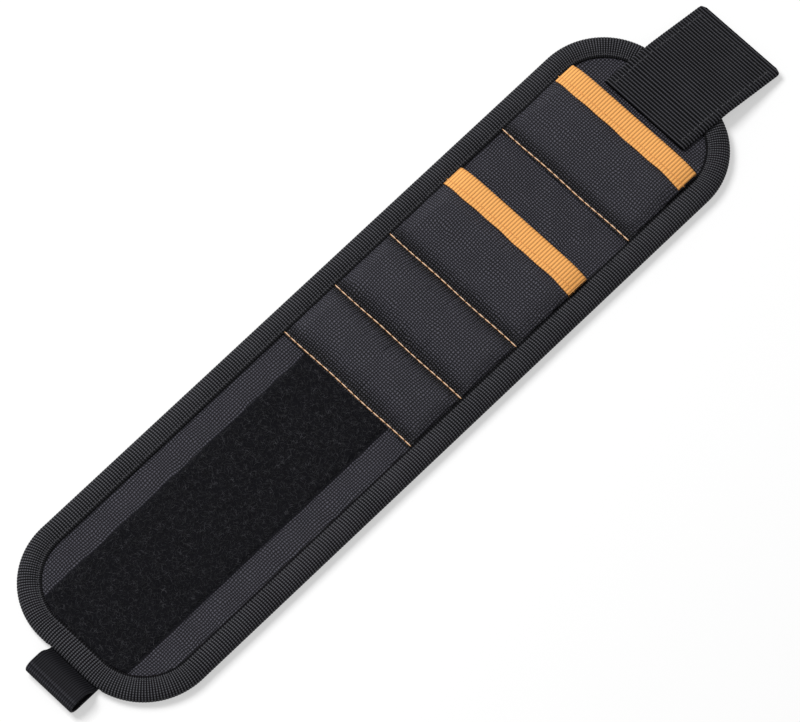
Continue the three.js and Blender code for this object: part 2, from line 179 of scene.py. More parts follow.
LINING_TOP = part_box("bridge_lining")[1].z
FACE_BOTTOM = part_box("bridge_face")[0].z
FACE_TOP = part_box("bridge_face")[1].z
BINDING_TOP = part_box("bridge_binding_back")[1].z
ON_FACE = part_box("tail_root_loop_pad")[0].z
PAD_HALF_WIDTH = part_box("tail_root_loop_pad")[1].y
FACE_INSET = HALF_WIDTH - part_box("bridge_face")[1].y
FLANGE = HALF_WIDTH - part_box("bridge_binding_back")[0].y
CLEAR_INSET = HALF_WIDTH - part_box("pocket_one_panel")[1].y
TAILS_LOW, TAILS_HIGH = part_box("pull_loop_tails")
LOOP_LOW, LOOP_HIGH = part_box("pull_loop")

# The closing strap's bend, and the slope of its free tongue

STRAP_HINGE = Vector(joint_named("strap_peel")["pos_m"])
HOOK_MOUNT = next(mount for mount in frame["record"]["mounts"] if mount["name"] == "hook_pad_face")
STRAP_SLOPE = asin(hypot(*HOOK_MOUNT["axis"][:2]))

# Settings that a user would change


def length(label, description, millimetres):
    """A length property, written in millimetres and kept in metres."""
    return FloatProperty(
        name=label,
        description=description,
        default=millimetres * MM,
        unit="LENGTH",
        precision=5,
    )


def angle(label, description, degrees):
    """An angle property, written in degrees and kept in radians."""
    return FloatProperty(name=label, description=description, default=radians(degrees), subtype="ANGLE")


def factor(label, description, default):
    """A property for a share of something."""
    return FloatProperty(name=label, description=description, default=default, subtype="FACTOR")


def colour(label, description, default):
    """A colour property."""
    return FloatVectorProperty(
        name=label,
        description=description,
        default=default,
        subtype="COLOR",
        min=0,
        max=1,
    )


class WristbandSizes(bpy.types.PropertyGroup):
    """Sizes of the cloth, the tapes and the sewing"""

    corner_radius: length("Corner radius", "Rounding of the band's corners", 28)
    weave_pitch: length("Weave pitch", "Distance between neighbouring yarns of the face cloth", 1.0)
    cloth_thickness: length("Cloth thickness", "Thickness of the quilted cover and the pocket panels", 0.7)
    cloth_slack: factor("Cloth slack", "Share by which a cell's cloth is longer than what it spans", 0.035)
    cell_crown: length("Cell crown", "Height of a puffed cell over its seams", 2.4)
    bend_reach: length("Bend reach", "How far the cloth bends on either side of a bending line", 8)
    hem: length("Hem", "Cloth that lies beyond a sewn line", 0.8)
    binding_wall: length("Binding wall", "Thickness of the binding round the edge", 1.2)
    binding_thickness: length("Binding thickness", "Thickness of the binding's flanges", 0.6)
    binding_puff: length("Binding puff", "Swelling of the binding between its edge and its stitching", 0.45)
    binding_groove: length("Binding groove", "Depth to which stitching pulls the binding down", 0.3)
    binding_seam: length("Binding seam", "Inset of the binding's stitching from the edge", 7.2)
    binding_pitch: length("Binding rib pitch", "Distance between the binding's ribs", 1.1)
    binding_rib: length("Binding rib height", "Height of the binding's ribs", 0.16)
    pile_pitch: length("Pile pitch", "Mean distance between the loop pad's fibres", 0.8)
    pile_height: length("Pile height", "Height of the loop pad's fibres", 0.6)
    pocket_sag: length("Pocket sag", "How far an empty pocket sinks from the shape of an open one", 2.4)
    ribbon_thickness: length("Ribbon thickness", "Thickness of the ribbon at the pocket mouths", 0.5)
    ribbon_clearance: length("Ribbon clearance", "Gap between the ribbon and the panel in it", 0.15)
    ribbon_pitch: length("Ribbon rib pitch", "Distance between the ribbon's ribs", 1.2)
    ribbon_rib: length("Ribbon rib height", "Height of the ribbon's ribs", 0.1)
    strap_width: length("Strap width", "Width of the closing strap", 38)
    strap_thickness: length("Strap thickness", "Thickness of the closing strap", 1.6)
    strap_sewn: length("Strap sewn length", "Length of the strap that is sewn to the band", 21)
    strap_free: length("Strap free length", "Length of the strap past the band", 26)
    strap_lean: angle("Strap lean", "Angle by which the strap's sides lean from the band's length", 3.7)
    strap_corner: length("Strap corner radius", "Rounding of the strap's free corners", 1.5)
    strap_seam: length("Strap seam", "Inset of the strap's stitching from its edges", 3.0)
    strap_pitch: length("Strap rib pitch", "Distance between the strap's ribs", 1.2)
    strap_rib: length("Strap rib height", "Height of the strap's ribs", 0.2)
    hook_pitch: length("Hook pitch", "Distance between the hooks of the hook pad", 1.5)
    hook_height: length("Hook height", "Height of the hooks", 0.7)
    elastic_pitch: length("Elastic rib pitch", "Distance between the pull loop's ribs", 0.9)
    elastic_rib: length("Elastic rib height", "Height of the pull loop's ribs", 0.03)
    stitch_pitch: length("Stitch pitch", "Distance from one stitch to the next", 3.0)
    stitch_length: length("Stitch length", "Length of a stitch with the tips that go into the cloth", 3.2)
    dark_pitch: length("Dark stitch pitch", "Distance between stitches of the binding and the strap", 2.6)
    dark_length: length("Dark stitch length", "Length of a stitch of the binding and the strap", 2.3)
    thread: length("Thread", "Thickness of the sewing thread", 0.6)


class WristbandColours(bpy.types.PropertyGroup):
    """Colours of the wristband's finishes"""

    face: colour("Face", "Woven face, cover and pockets", (0.040, 0.039, 0.049))
    binding: colour("Binding", "Edge binding", (0.056, 0.056, 0.063))
    lining: colour("Lining", "Mesh on the wrist side", (0.016, 0.016, 0.018))
    pile: colour("Pile", "Loop pad", (0.008, 0.008, 0.010))
    fibre: colour("Fibre", "Loose fibres of the loop pad", (0.034, 0.034, 0.038))
    ribbon: colour("Ribbon", "Ribbon at the pocket mouths", (0.96, 0.44, 0.12))
    strap: colour("Strap", "Closing strap", (0.035, 0.035, 0.040))
    elastic: colour("Elastic", "Pull loop", (0.011, 0.011, 0.013))
    hooks: colour("Hooks", "Hook pad", (0.012, 0.012, 0.014))
    # painted highlight: the pale colour painted on the upward-facing crowns of the orange sewing
    bright_thread: colour("Bright thread", "Crowns of the sewing across the band", (1.0, 0.78, 0.60))
    dark_thread: colour("Dark thread", "Sewing of the binding and the strap", (0.026, 0.026, 0.029))
    magnet: colour("Magnet", "Plating of the magnets", (0.48, 0.50, 0.52))
    wadding: colour("Wadding", "Filling of the puffed cells", (0.70, 0.68, 0.63))


class WristbandStage(bpy.types.PropertyGroup):
    """Camera, floor and light"""

    azimuth: angle("Azimuth", "Side that the camera looks from", -45.5)
    elevation: angle("Elevation", "Camera's height over the horizon", 67.1)
    distance: length("Distance", "Distance of the camera from the band", 2306)
    focal_length: FloatProperty(
        name="Focal length",
        description="Camera's lens, in millimetres",
        default=300,
        unit="CAMERA",
    )
    aim_right: length("Aim right", "How far right of the band's middle the camera aims", 7.5)
    aim_up: length("Aim up", "How far above the band's middle the camera aims", 1.7)
    key_power: FloatProperty(
        name="Key power",
        description="Power of the soft key light",
        default=42,
        unit="POWER",
    )
    key_size: length("Key size", "Side of the soft key light", 900)
    sky: factor("Sky", "Strength of the even white light all round", 0.3)
    floor_glow: factor("Floor glow", "Share of plain white in the floor, which pales the shadow", 0.5)
    seed: IntProperty(name="Seed", description="Start of the random draws of the loose fibres", default=4)


def sizes():
    """The scene's sizes."""
    return bpy.context.scene.wristband_sizes


def colours():
    """The scene's colours."""
    return bpy.context.scene.wristband_colours


# Shapes of curves and of the band's outline


def smooth(low, high, value):
    """0 below low, 1 above high, and an even S between them."""
    share = np.clip((value - low) / (high - low), 0, 1)
    return share * share * (3 - 2 * share)


def dip(value, width):
    """A soft bell, 1 at zero."""
    return np.exp(-((value / width) ** 2))


def inset_at(x, y):
    """How far points lie inside the band's rounded edge."""
    radius = sizes().corner_radius
    past_x = np.abs(x) - (BAND_END - radius)
    past_y = np.abs(y) - (HALF_WIDTH - radius)
    outside = np.hypot(np.maximum(past_x, 0), np.maximum(past_y, 0))
    return radius - outside - np.minimum(np.maximum(past_x, past_y), 0)


def half_width_at(x, inset):
    """Half of the band's width at x, inside an outline drawn in from its edge."""
    radius = sizes().corner_radius - inset
    past = np.clip(np.abs(x) - (BAND_END - sizes().corner_radius), 0, radius)
    return HALF_WIDTH - inset - radius + np.sqrt(radius**2 - past**2)


def stations(places, step):
    """Even stations through every place, no further apart than step."""
    allowance = 1e-6
    found = [places[:1]]
    for start, end in zip(places, places[1:]):
        count = max(1, ceil((end - start) / step - allowance))
        found.append(np.linspace(start, end, count + 1)[1:])
    return np.concatenate(found)


def rounded_stations(start, end, step, inset):
    """Stations along X that come closer where an outline rounds off an end of the band."""
    apart = 0.1 * MM
    radius = sizes().corner_radius - inset
    turn = np.linspace(0, pi / 2, CORNER_STATIONS)
    arc = BAND_END - sizes().corner_radius + radius * np.sin(turn)
    extra = np.concatenate([-arc, arc])
    extra = extra[(extra > start + apart) & (extra < end - apart)]
    return np.unique(np.concatenate([stations([start, end], step), extra]))


def span_range(span, inset):
    """Where a span starts and ends, for a layer that is drawn in from the band's edge."""
    start = max(SPAN_ENDS[span], BAND_START + inset)
    end = min(SPAN_ENDS[span + 1], BAND_END - inset)
    return start, end


def band_grid(along, inset, columns, widest=HALF_WIDTH):
    """X and Y of a grid at stations along the band, inside an outline drawn in from its edge."""
    half = np.minimum(half_width_at(along, inset), widest)
    y = half[:, None] * np.linspace(-1, 1, columns)
    return np.broadcast_to(along[:, None], y.shape), y


def lifted(x, y, z):
    """Heights of the tail end's underside, drawn up where the pull loop's tails are sewn in."""
    clearance = 0.2 * MM
    ease = 2 * MM
    rise = TAILS_HIGH.z + clearance
    middle = (TAILS_LOW.y + TAILS_HIGH.y) / 2
    reach = (TAILS_HIGH.y - TAILS_LOW.y) / 2 + clearance
    beside = 1 - smooth(reach, reach + ease, np.abs(y - middle))
    beyond = 1 - smooth(TAILS_HIGH.x + clearance, TAILS_HIGH.x + ease, x)
    return z + rise * beside * beyond * (1 - z / BINDING_TOP)


def rounded_side(from_side, radius):
    """Share of its thickness that a tape has near its rounded sides."""
    least = 0.05
    return np.sqrt(1 - (1 - np.clip(from_side / radius, least, 1)) ** 2)


def travelled(path):
    """Distance along a path to each of its points."""
    steps = np.linalg.norm(np.diff(path, axis=0), axis=1)
    return np.concatenate([[0], np.cumsum(steps)])


# Meshes


def points(*parts):
    """Points from their coordinates, two or three arrays of any matching shapes."""
    return np.stack(np.broadcast_arrays(*parts), -1)


def quads(first, second, third, fourth):
    """Four arrays of point numbers as a list of quads."""
    return np.stack([first, second, third, fourth], -1).reshape(-1, 4)


def grid_quads(numbers):
    """Quads between the points of a numbered grid."""
    return quads(numbers[:-1, :-1], numbers[1:, :-1], numbers[1:, 1:], numbers[:-1, 1:])


def grid_normals(grid):
    """Directions square to a grid of points."""
    normals = np.cross(np.gradient(grid, axis=0), np.gradient(grid, axis=1))
    return normals / np.linalg.norm(normals, axis=-1, keepdims=True)


def enclosed_volume(corners, faces):
    """Signed volume inside a closed mesh of quads."""
    a, b, c, d = (corners[faces[:, k]] for k in range(4))
    return np.sum(np.cross(a, b) * c + np.cross(a, c) * d) / 6


def add_object(name, mesh, material):
    """A new object at the origin, with one material."""
    piece = bpy.data.objects.new(name, mesh)
    bpy.context.scene.collection.objects.link(piece)
    mesh.materials.clear()
    mesh.materials.append(material)
    return piece


def grid_mesh(name, grid):
    """An open mesh through a grid of points."""
    numbers = np.arange(grid[..., 0].size).reshape(grid.shape[:2])
    mesh = bpy.data.meshes.new(name)
    mesh.from_pydata(grid.reshape(-1, 3).tolist(), [], grid_quads(numbers).tolist())
    return mesh


def make_sheet(name, upper, lower, cloth, material, shade=None):
    """A closed sheet between two grids of points, which keeps its flat cloth coordinates as a UV map."""
    rows, columns = upper.shape[:2]
    count = rows * columns
    over = np.arange(count).reshape(rows, columns)
    rim = np.concatenate([over[0, :-1], over[:-1, -1], over[-1, :0:-1], over[:0:-1, 0]])
    ahead = np.roll(rim, -1)
    wall = quads(rim, ahead, ahead + count, rim + count)
    faces = np.concatenate([grid_quads(over), grid_quads(over + count)[:, ::-1], wall])
    corners = np.concatenate([upper.reshape(-1, 3), lower.reshape(-1, 3)])
    outward = np.concatenate([grid_normals(upper).reshape(-1, 3), -grid_normals(lower).reshape(-1, 3)])
    if enclosed_volume(corners, faces) < 0:
        faces = faces[:, ::-1]
        outward = -outward
    mesh = bpy.data.meshes.new(name)
    mesh.from_pydata(corners.tolist(), [], faces.tolist())
    flat = np.concatenate([cloth.reshape(-1, 2)] * 2)
    layer = mesh.uv_layers.new(name=CLOTH_MAP)
    layer.uv.foreach_set("vector", flat[faces.ravel()].ravel())
    direction = mesh.attributes.new(OUTWARD, "FLOAT_VECTOR", "POINT")
    direction.data.foreach_set("vector", outward.ravel())
    if shade is not None:
        shading = mesh.attributes.new(SHADE, "FLOAT", "POINT")
        shading.data.foreach_set("value", np.concatenate([shade.ravel()] * 2))
    mesh.shade_smooth()
    mesh.set_sharp_from_angle(angle=SHARP_ANGLE)
    return add_object(name, mesh, material)


def make_lines(name, lines, material):
    """Open lines of points as one mesh of edges, for sewing to follow."""
    corners = np.concatenate(lines)
    edges = []
    first = 0
    for line in lines:
        edges += [(first + k, first + k + 1) for k in range(len(line) - 1)]
        first += len(line)
    mesh = bpy.data.meshes.new(name)
    mesh.from_pydata(corners.tolist(), edges, [])
    return add_object(name, mesh, material)


def carry(piece, slot, span, *nodes):
    """Hides the solids that a finished piece stands for, and puts a piece at either end of the band on that
    end's stretch; a piece between two stretches is left where it is. The slot is not used.
    """
    if nodes:
        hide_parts(*nodes)
    if span == 0:
        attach(piece, STRETCHES[0])
    elif span == SPAN_COUNT - 1:
        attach(piece, STRETCHES[-1])
    else:
        line = BENDS[span - 1]
        reach = min(sizes().bend_reach, line - MIDDLES[span - 1], MIDDLES[span] - line)
        start = (line - reach, 0, 0)
        end = (line + reach, 0, 0)
        STRETCHES[span - 1]
        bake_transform(piece)


def span_holding(x):
    """The span that holds a place along the band."""
    return next(span for span in range(SPAN_COUNT) if SPAN_ENDS[span] <= x <= SPAN_ENDS[span + 1])


def nodes_of(span, layer):
    """The solid of a layer that a span's piece stands for."""
    if span == len(STRETCHES):
        return []
    return [f"{STRETCHES[span]}_{layer}"]


def halves(start, middle, end):
    """Number, start and end of each half of a piece that is cut at a stretch's middle."""
    return (1, start, middle), (2, middle, end)


def carry_half(piece, slot, half, node):
    """Carries one half of a piece. The first half stands for the solid."""
    number, start, end = half
    nodes = [node] if number == 1 else []
    carry(piece, slot, span_holding((start + end) / 2), *nodes)


# Node trees


def join(value, socket):
    """Links a wire to a socket, or sets the socket to a plain value."""
    if isinstance(value, Wire):
        socket.id_data.links.new(value.socket, socket)
    else:
        socket.default_value = value


def add_node(tree, kind, inputs=None, **settings):
    """A new node with its settings, and its inputs by name or number."""
    node = tree.nodes.new(kind)
    for name, value in settings.items():
        setattr(node, name, value)
    for key, value in (inputs or {}).items():
        join(value, node.inputs[key])
    return node


class Wire:
    """One output of a node. Arithmetic on it adds Math nodes to its tree."""

    def __init__(self, socket):
        self.socket = socket
        self.tree = socket.id_data

    def step(self, operation, *others):
        """The result of one Math node."""
        values = dict(enumerate((self, *others)))
        return wire_from(self.tree, "ShaderNodeMath", values, operation=operation)

    def __add__(self, other):
        return self.step("ADD", other)

    def __sub__(self, other):
        return self.step("SUBTRACT", other)

    def __mul__(self, other):
        return self.step("MULTIPLY", other)

    def __truediv__(self, other):
        return self.step("DIVIDE", other)

    def __pow__(self, other):
        return self.step("POWER", other)

    def ripple(self, pitch):
        """Rounded ridges, 0 between them and 1 on their crowns."""
        return (self / pitch * pi).step("SINE").step("ABSOLUTE")

    def parts(self):
        """The three parts of a vector."""
        node = add_node(self.tree, "ShaderNodeSeparateXYZ", {0: self})
        return [Wire(socket) for socket in node.outputs]

    def scaled(self, strength):
        """A vector times a number."""
        return wire_from(self.tree, "ShaderNodeVectorMath", {0: self, "Scale": strength}, operation="SCALE")


def wire_from(tree, kind, inputs=None, **settings):
    """The first output of a new node."""
    return Wire(add_node(tree, kind, inputs, **settings).outputs[0])


def add_tree(name, inputs):
    """A new geometry tree, with wires for its geometry and its named inputs, and its output node."""
    tree = bpy.data.node_groups.new(name, "GeometryNodeTree")
    tree.interface.new_socket("Geometry", in_out="INPUT", socket_type="NodeSocketGeometry")
    tree.interface.new_socket("Geometry", in_out="OUTPUT", socket_type="NodeSocketGeometry")
    for label, kind in inputs.items():
        tree.interface.new_socket(label, in_out="INPUT", socket_type="NodeSocket" + kind)
    source = tree.nodes.new("NodeGroupInput")
    wires = {socket.name: Wire(socket) for socket in source.outputs if socket.name}
    return tree, wires, tree.nodes.new("NodeGroupOutput")


def end_tree(tree, output, geometry, material):
    """Ends a tree in plain smooth faces with a material."""
    plain = wire_from(tree, "GeometryNodeRealizeInstances", {"Geometry": geometry})
    soft = wire_from(tree, "GeometryNodeSetShadeSmooth", {"Geometry": plain})
    dressed = wire_from(tree, "GeometryNodeSetMaterial", {"Geometry": soft, "Material": material})
    join(dressed, output.inputs[0])


def add_modifier(piece, tree, values):
    """A geometry tree on a piece, with its inputs set by their names."""
    modifier = piece.modifiers.new(tree.name, "NODES")
    modifier.node_group = tree
    for item in tree.interface.items_tree:
        if item.in_out == "INPUT" and item.name in values:
            modifier[item.identifier] = values[item.name]


def grow(piece, tree, values):
    """Runs a geometry tree on a piece, and keeps the result as the piece's own plain mesh."""
    add_modifier(piece, tree, values)
    depsgraph = bpy.context.evaluated_depsgraph_get()
    evaluated = piece.evaluated_get(depsgraph)
    mesh = bpy.data.meshes.new_from_object(evaluated, preserve_all_data_layers=True, depsgraph=depsgraph)
    bare = piece.data
    piece.modifiers.clear()
    piece.data = mesh
    bpy.data.meshes.remove(bare)
    mesh.name = piece.name
    return piece


def layer_vector(tree, name):
    """The vectors of a layer that the mesh carries."""
    return wire_from(tree, "GeometryNodeInputNamedAttribute", {"Name": name}, data_type="FLOAT_VECTOR")


def random_vector(tree, low, high, seed):
    """A random vector for every point."""
    inputs = {0: low, 1: high, "Seed": seed}
    return wire_from(tree, "FunctionNodeRandomValue", inputs, data_type="FLOAT_VECTOR")


def rib_tree():
    """Ribs of a woven tape: its surface rises along its own outward directions."""
    inputs = {"Pitch": "Float", "Height": "Float", "Material": "Material"}
    tree, wires, output = add_tree("Tape ribs", inputs)
    along = layer_vector(tree, CLOTH_MAP).parts()[0]
    rise = along.ripple(wires["Pitch"]) * wires["Height"]
    offset = layer_vector(tree, OUTWARD).scaled(rise)
    moved = wire_from(tree, "GeometryNodeSetPosition", {"Geometry": wires["Geometry"], "Offset": offset})
    end_tree(tree, output, moved, wires["Material"])
    return tree


def stitch_tree():
    """Stitches along lines: lens-shaped lengths of thread, one after another."""
    inputs = {"Pitch": "Float", "Length": "Float", "Thread": "Float", "Material": "Material"}
    tree, wires, output = add_tree("Stitch row", inputs)
    line = wire_from(tree, "GeometryNodeMeshToCurve", {"Mesh": wires["Geometry"]})
    spacing = {"Curve": line, "Length": wires["Pitch"]}
    places = add_node(tree, "GeometryNodeCurveToPoints", spacing, mode="LENGTH")
    ball = wire_from(tree, "GeometryNodeMeshUVSphere", {"Segments": 6, "Rings": 5, "Radius": 0.5})
    thread = wires["Thread"]
    size = wire_from(tree, "ShaderNodeCombineXYZ", {0: thread, 1: thread, 2: wires["Length"]})
    stitch = wire_from(tree, "GeometryNodeTransform", {"Geometry": ball, "Scale": size})
    tangent = {"Vector": Wire(places.outputs["Tangent"])}
    turn = wire_from(tree, "FunctionNodeAlignRotationToVector", tangent, axis="Z")
    placed = {"Points": Wire(places.outputs["Points"]), "Instance": stitch, "Rotation": turn}
    row = wire_from(tree, "GeometryNodeInstanceOnPoints", placed)
    end_tree(tree, output, row, wires["Material"])
    return tree


def fibre_shape(tree, start, middle, end, thickness):
    """A thin fibre from start to end, bent towards middle."""
    bend = {"Resolution": 4, "Start": start, "Middle": middle, "End": end}
    line = wire_from(tree, "GeometryNodeCurveQuadraticBezier", bend)
    ring = wire_from(tree, "GeometryNodeCurvePrimitiveCircle", {"Resolution": 3, "Radius": thickness / 2})
    sweep = {"Curve": line, "Profile Curve": ring, "Fill Caps": True}
    return wire_from(tree, "GeometryNodeCurveToMesh", sweep)


def pile_tree():
    """Loose looped fibres, strewn over a bed and turned every way."""
    inputs = {"Density": "Float", "Seed": "Int", "Material": "Material"}
    tree, wires, output = add_tree("Loop pile", inputs)
    seed = wires["Seed"]
    bed = {"Mesh": wires["Geometry"], "Density": wires["Density"], "Seed": seed}
    places = wire_from(tree, "GeometryNodeDistributePointsOnFaces", bed)
    height = sizes().pile_height
    reach = 1.6 * height
    root = (-reach, 0, -0.2 * MM)
    crown = (0, reach, 1.2 * height)
    tip = (reach, 0, 0)
    loop = fibre_shape(tree, root, crown, tip, 0.11 * MM)
    spin = random_vector(tree, (-0.5, -0.3, 0), (0.5, 0.3, 2 * pi), seed)
    grown = random_vector(tree, (0.5, 0.5, 0.5), (1.2, 1.0, 1.0), seed + 1)
    turn = wire_from(tree, "FunctionNodeEulerToRotation", {0: spin})
    placed = {"Points": places, "Instance": loop, "Rotation": turn, "Scale": grown}
    strewn = wire_from(tree, "GeometryNodeInstanceOnPoints", placed)
    end_tree(tree, output, strewn, wires["Material"])
    return tree


def hook_tree():
    """A moulded hook on every point of a bed."""
    tree, wires, output = add_tree("Hook field", {"Material": "Material"})
    height = sizes().hook_height
    root = (0, 0, 0)
    crown = (0.1 * height, 0, -1.6 * height)
    tip = (0.6 * height, 0, -0.5 * height)
    hook = fibre_shape(tree, root, crown, tip, 0.25 * MM)
    field = wire_from(tree, "GeometryNodeInstanceOnPoints", {"Points": wires["Geometry"], "Instance": hook})
    end_tree(tree, output, field, wires["Material"])
    return tree


MADE_TREES = {}


def shared_tree(make):
    """A geometry tree that is made once and then used again."""
    if make.__name__ not in MADE_TREES:
        MADE_TREES[make.__name__] = make()
    return MADE_TREES[make.__name__]


def add_ribs(piece, pitch, height):
    """Raises a tape's ribs on a piece."""
    values = {"Pitch": pitch, "Height": height, "Material": piece.data.materials[0]}
    return grow(piece, shared_tree(rib_tree), values)


def sew(name, lines, material, pitch, stitch, thread):
    """A row of stitches along each line."""
    values = {"Pitch": pitch, "Length": stitch, "Thread": thread, "Material": material}
    return grow(make_lines(name, lines, material), shared_tree(stitch_tree), values)


# Finishes

LEAST_LIGHT = 0.05
FIBRE_GRAIN = 0.2 * MM
TUFT_GRAIN = 2.2 * MM
MADE_FINISHES = {}


def finish(make):
    """A material that is made once and then used again."""
    if make.__name__ not in MADE_FINISHES:
        MADE_FINISHES[make.__name__] = make(make.__name__.replace("_", " ").capitalize())
    return MADE_FINISHES[make.__name__]


def new_finish(name, roughness, specular):
    """A material, its shader and the cloth's own coordinates in metres."""
    material = bpy.data.materials.new(name)
    material.use_nodes = True
    tree = material.node_tree
    shader = tree.nodes["Principled BSDF"]
    shader.inputs["Roughness"].default_value = roughness
    shader.inputs["Specular IOR Level"].default_value = specular
    u, v, _ = wire_from(tree, "ShaderNodeUVMap", uv_map=CLOTH_MAP).parts()
    return material, shader, u, v


def object_place(tree):
    """Object coordinates of a piece that has no cloth map."""
    place = add_node(tree, "ShaderNodeTexCoord")
    return Wire(place.outputs["Object"]).parts()


def shade_on(tree):
    """The shade that the mesh carries."""
    layer = add_node(tree, "ShaderNodeAttribute", attribute_name=SHADE)
    return Wire(layer.outputs["Fac"])


def mottle(u, v, grain, detail=2):
    """Soft random values about a half, whose patches are about one grain across."""
    place = wire_from(u.tree, "ShaderNodeCombineXYZ", {0: u, 1: v})
    return wire_from(u.tree, "ShaderNodeTexNoise", {"Vector": place, "Scale": 1 / grain, "Detail": detail})


def twisted(along, across, up):
    """Turns of a twisted thread, 0 between them and 1 on their crowns."""
    return (along + across * 0.6 + up).ripple(0.35 * MM)


def paint(shader, tone, strength):
    """A colour whose brightness varies by a factor."""
    inputs = {0: tuple(tone), "Scale": strength}
    shaded = wire_from(strength.tree, "ShaderNodeVectorMath", inputs, operation="SCALE")
    join(shaded, shader.inputs["Base Color"])


def emboss(shader, height, depth):
    """A fine relief of the given depth."""
    inputs = {"Height": height, "Distance": depth, "Strength": 1.0}
    join(wire_from(height.tree, "ShaderNodeBump", inputs), shader.inputs["Normal"])


def woven_face(name):
    """Coarse plain weave, whose yarns pass over and under one another."""
    material, shader, flat_u, flat_v = new_finish(name, 0.5, 0.16)
    pitch = sizes().weave_pitch
    wander = 2.4 * MM
    u = flat_u + (mottle(flat_u, flat_v, 7 * MM) - 0.5) * wander
    v = flat_v + (mottle(flat_v, flat_u, 9 * MM) - 0.5) * wander
    shade = shade_on(u.tree)
    warp = u.ripple(pitch)
    weft = v.ripple(pitch)
    on_top = ((u / pitch).step("FLOOR") + (v / pitch).step("FLOOR")).step("FLOORED_MODULO", 2)
    warp_float = warp * weft**0.45
    weft_float = weft * warp**0.45
    yarns = warp_float + (weft_float - warp_float) * on_top
    fibres = mottle(u, v, 0.25 * MM)
    cloudy = mottle(u, v, 11 * MM)
    # near a seam the drawn-in yarns show narrower crowns, and painted shade dims them and darkens the
    # groove
    crowns = yarns ** (shade * 2.5 + 2) * (shade * -0.5 + 2)
    light = crowns + on_top * 0.2 + fibres * 0.3 + cloudy * 0.3 - shade * 0.35 - 0.25
    paint(shader, colours().face, light.step("MAXIMUM", LEAST_LIGHT))
    emboss(shader, yarns + fibres * 0.2, 0.4 * MM)
    return material


def ribbed_cloth(name, tone, pitch, bead, bead_share, relief, sharpness):
    """Ribbed tape, whose ribs are crossed by fine threads. Sharper ribs are lit more narrowly."""
    material, shader, u, v = new_finish(name, 0.55, 0.03)
    ribs = u.ripple(pitch)
    beads = v.ripple(bead)
    fibres = mottle(u, v, FIBRE_GRAIN)
    cloudy = mottle(u, v, 12 * MM)
    lit_beads = beads * bead_share + (1 - bead_share)
    light = ribs**sharpness * lit_beads * 2 + fibres * 0.3 + cloudy * 0.3 - 0.25
    shaded = light * (shade_on(u.tree) * -0.85 + 1)
    paint(shader, tone, shaded.step("MAXIMUM", LEAST_LIGHT))
    emboss(shader, ribs * beads**0.7 + fibres * 0.2, relief)
    return material


def binding_tape(name):
    """Black ribbed tape of the edge, deeply beaded."""
    tone, pitch = colours().binding, sizes().binding_pitch
    return ribbed_cloth(name, tone, pitch, bead=0.8 * MM, bead_share=0.95, relief=0.25 * MM, sharpness=3)


def strap_webbing(name):
    """Black ribbed webbing of the strap, with narrow bright ribs."""
    tone, pitch = colours().strap, sizes().strap_pitch
    return ribbed_cloth(name, tone, pitch, bead=0.8 * MM, bead_share=0.25, relief=0.15 * MM, sharpness=6)


def pull_elastic(name):
    """Black ribbed elastic of the pull loop, nearly smooth."""
    tone, pitch = colours().elastic, sizes().elastic_pitch
    return ribbed_cloth(name, tone, pitch, bead=0.7 * MM, bead_share=0.4, relief=0.05 * MM, sharpness=1)


def orange_ribbon(name):
    """Orange ribbed ribbon of the pocket mouths."""
    material, shader, u, v = new_finish(name, 0.55, 0.2)
    ribs = u.ripple(sizes().ribbon_pitch)
    beads = v.ripple(0.45 * MM)
    fibres = mottle(u, v, FIBRE_GRAIN)
    paint(shader, colours().ribbon, ribs * 0.62 + beads * 0.14 + fibres * 0.24 + 0.2)
    emboss(shader, ribs * 0.8 + beads * 0.3, 0.1 * MM)
    return material


def loop_pile(name):
    """Fuzzy ground of the loop pad, with paler strips along its sides: its selvedge, partly paler in its
    own colour and partly as a painted highlight on the pad's raised rims.
    """
    material, shader, u, v = new_finish(name, 0.95, 0.04)
    selvedge_highlight = 0.35 * MM
    fuzz = mottle(u, v, 0.45 * MM, detail=4)
    tufts = mottle(u, v, TUFT_GRAIN)
    patches = mottle(u, v, 14 * MM)
    # painted highlight, with the selvedge's own paler colour: strips along both sides are lightened
    side = v.step("ABSOLUTE").step("GREATER_THAN", PAD_HALF_WIDTH - selvedge_highlight)
    light = fuzz * 1.4 + tufts * 0.5 + patches * 0.35 - 0.25 + side * fuzz * 1.5
    paint(shader, colours().pile, light)
    emboss(shader, fuzz + tufts * 0.6, 0.5 * MM)
    return material


def pile_fibre(name):
    """Single fibres of the loop pad, pale in scattered tufts."""
    material, shader, _, _ = new_finish(name, 0.7, 0.2)
    x, y, _ = object_place(material.node_tree)
    paint(shader, colours().fibre, mottle(x, y, TUFT_GRAIN) ** 3 * 7 + 0.2)
    return material


def lining_mesh(name):
    """Knitted spacer mesh, with small holes in a honeycomb."""
    material, shader, u, v = new_finish(name, 0.85, 0.12)
    hole_pitch = 2.6 * MM
    rate = 4 * pi / (hole_pitch * 3**0.5)
    first, second, third = (
        (u * (cos(turn) * rate) + v * (sin(turn) * rate)).step("COSINE")
        for turn in (0, pi / 3, 2 * pi / 3)
    )
    hole = ((first + second + third) / 3).step("SMOOTH_MAX", 0.0, 0.1)
    threads = mottle(u, v, 0.3 * MM)
    paint(shader, colours().lining, threads * 0.8 + 0.8 - hole * 0.9)
    emboss(shader, threads * 0.2 - hole, 0.6 * MM)
    return material


def hook_plastic(name):
    """Moulded black plastic of the hooks."""
    material, shader, _, _ = new_finish(name, 0.42, 0.35)
    x, y, _ = object_place(material.node_tree)
    grain = mottle(x, y, 0.6 * MM)
    paint(shader, colours().hooks, grain * 0.8 + 0.6)
    emboss(shader, grain, 0.03 * MM)
    return material


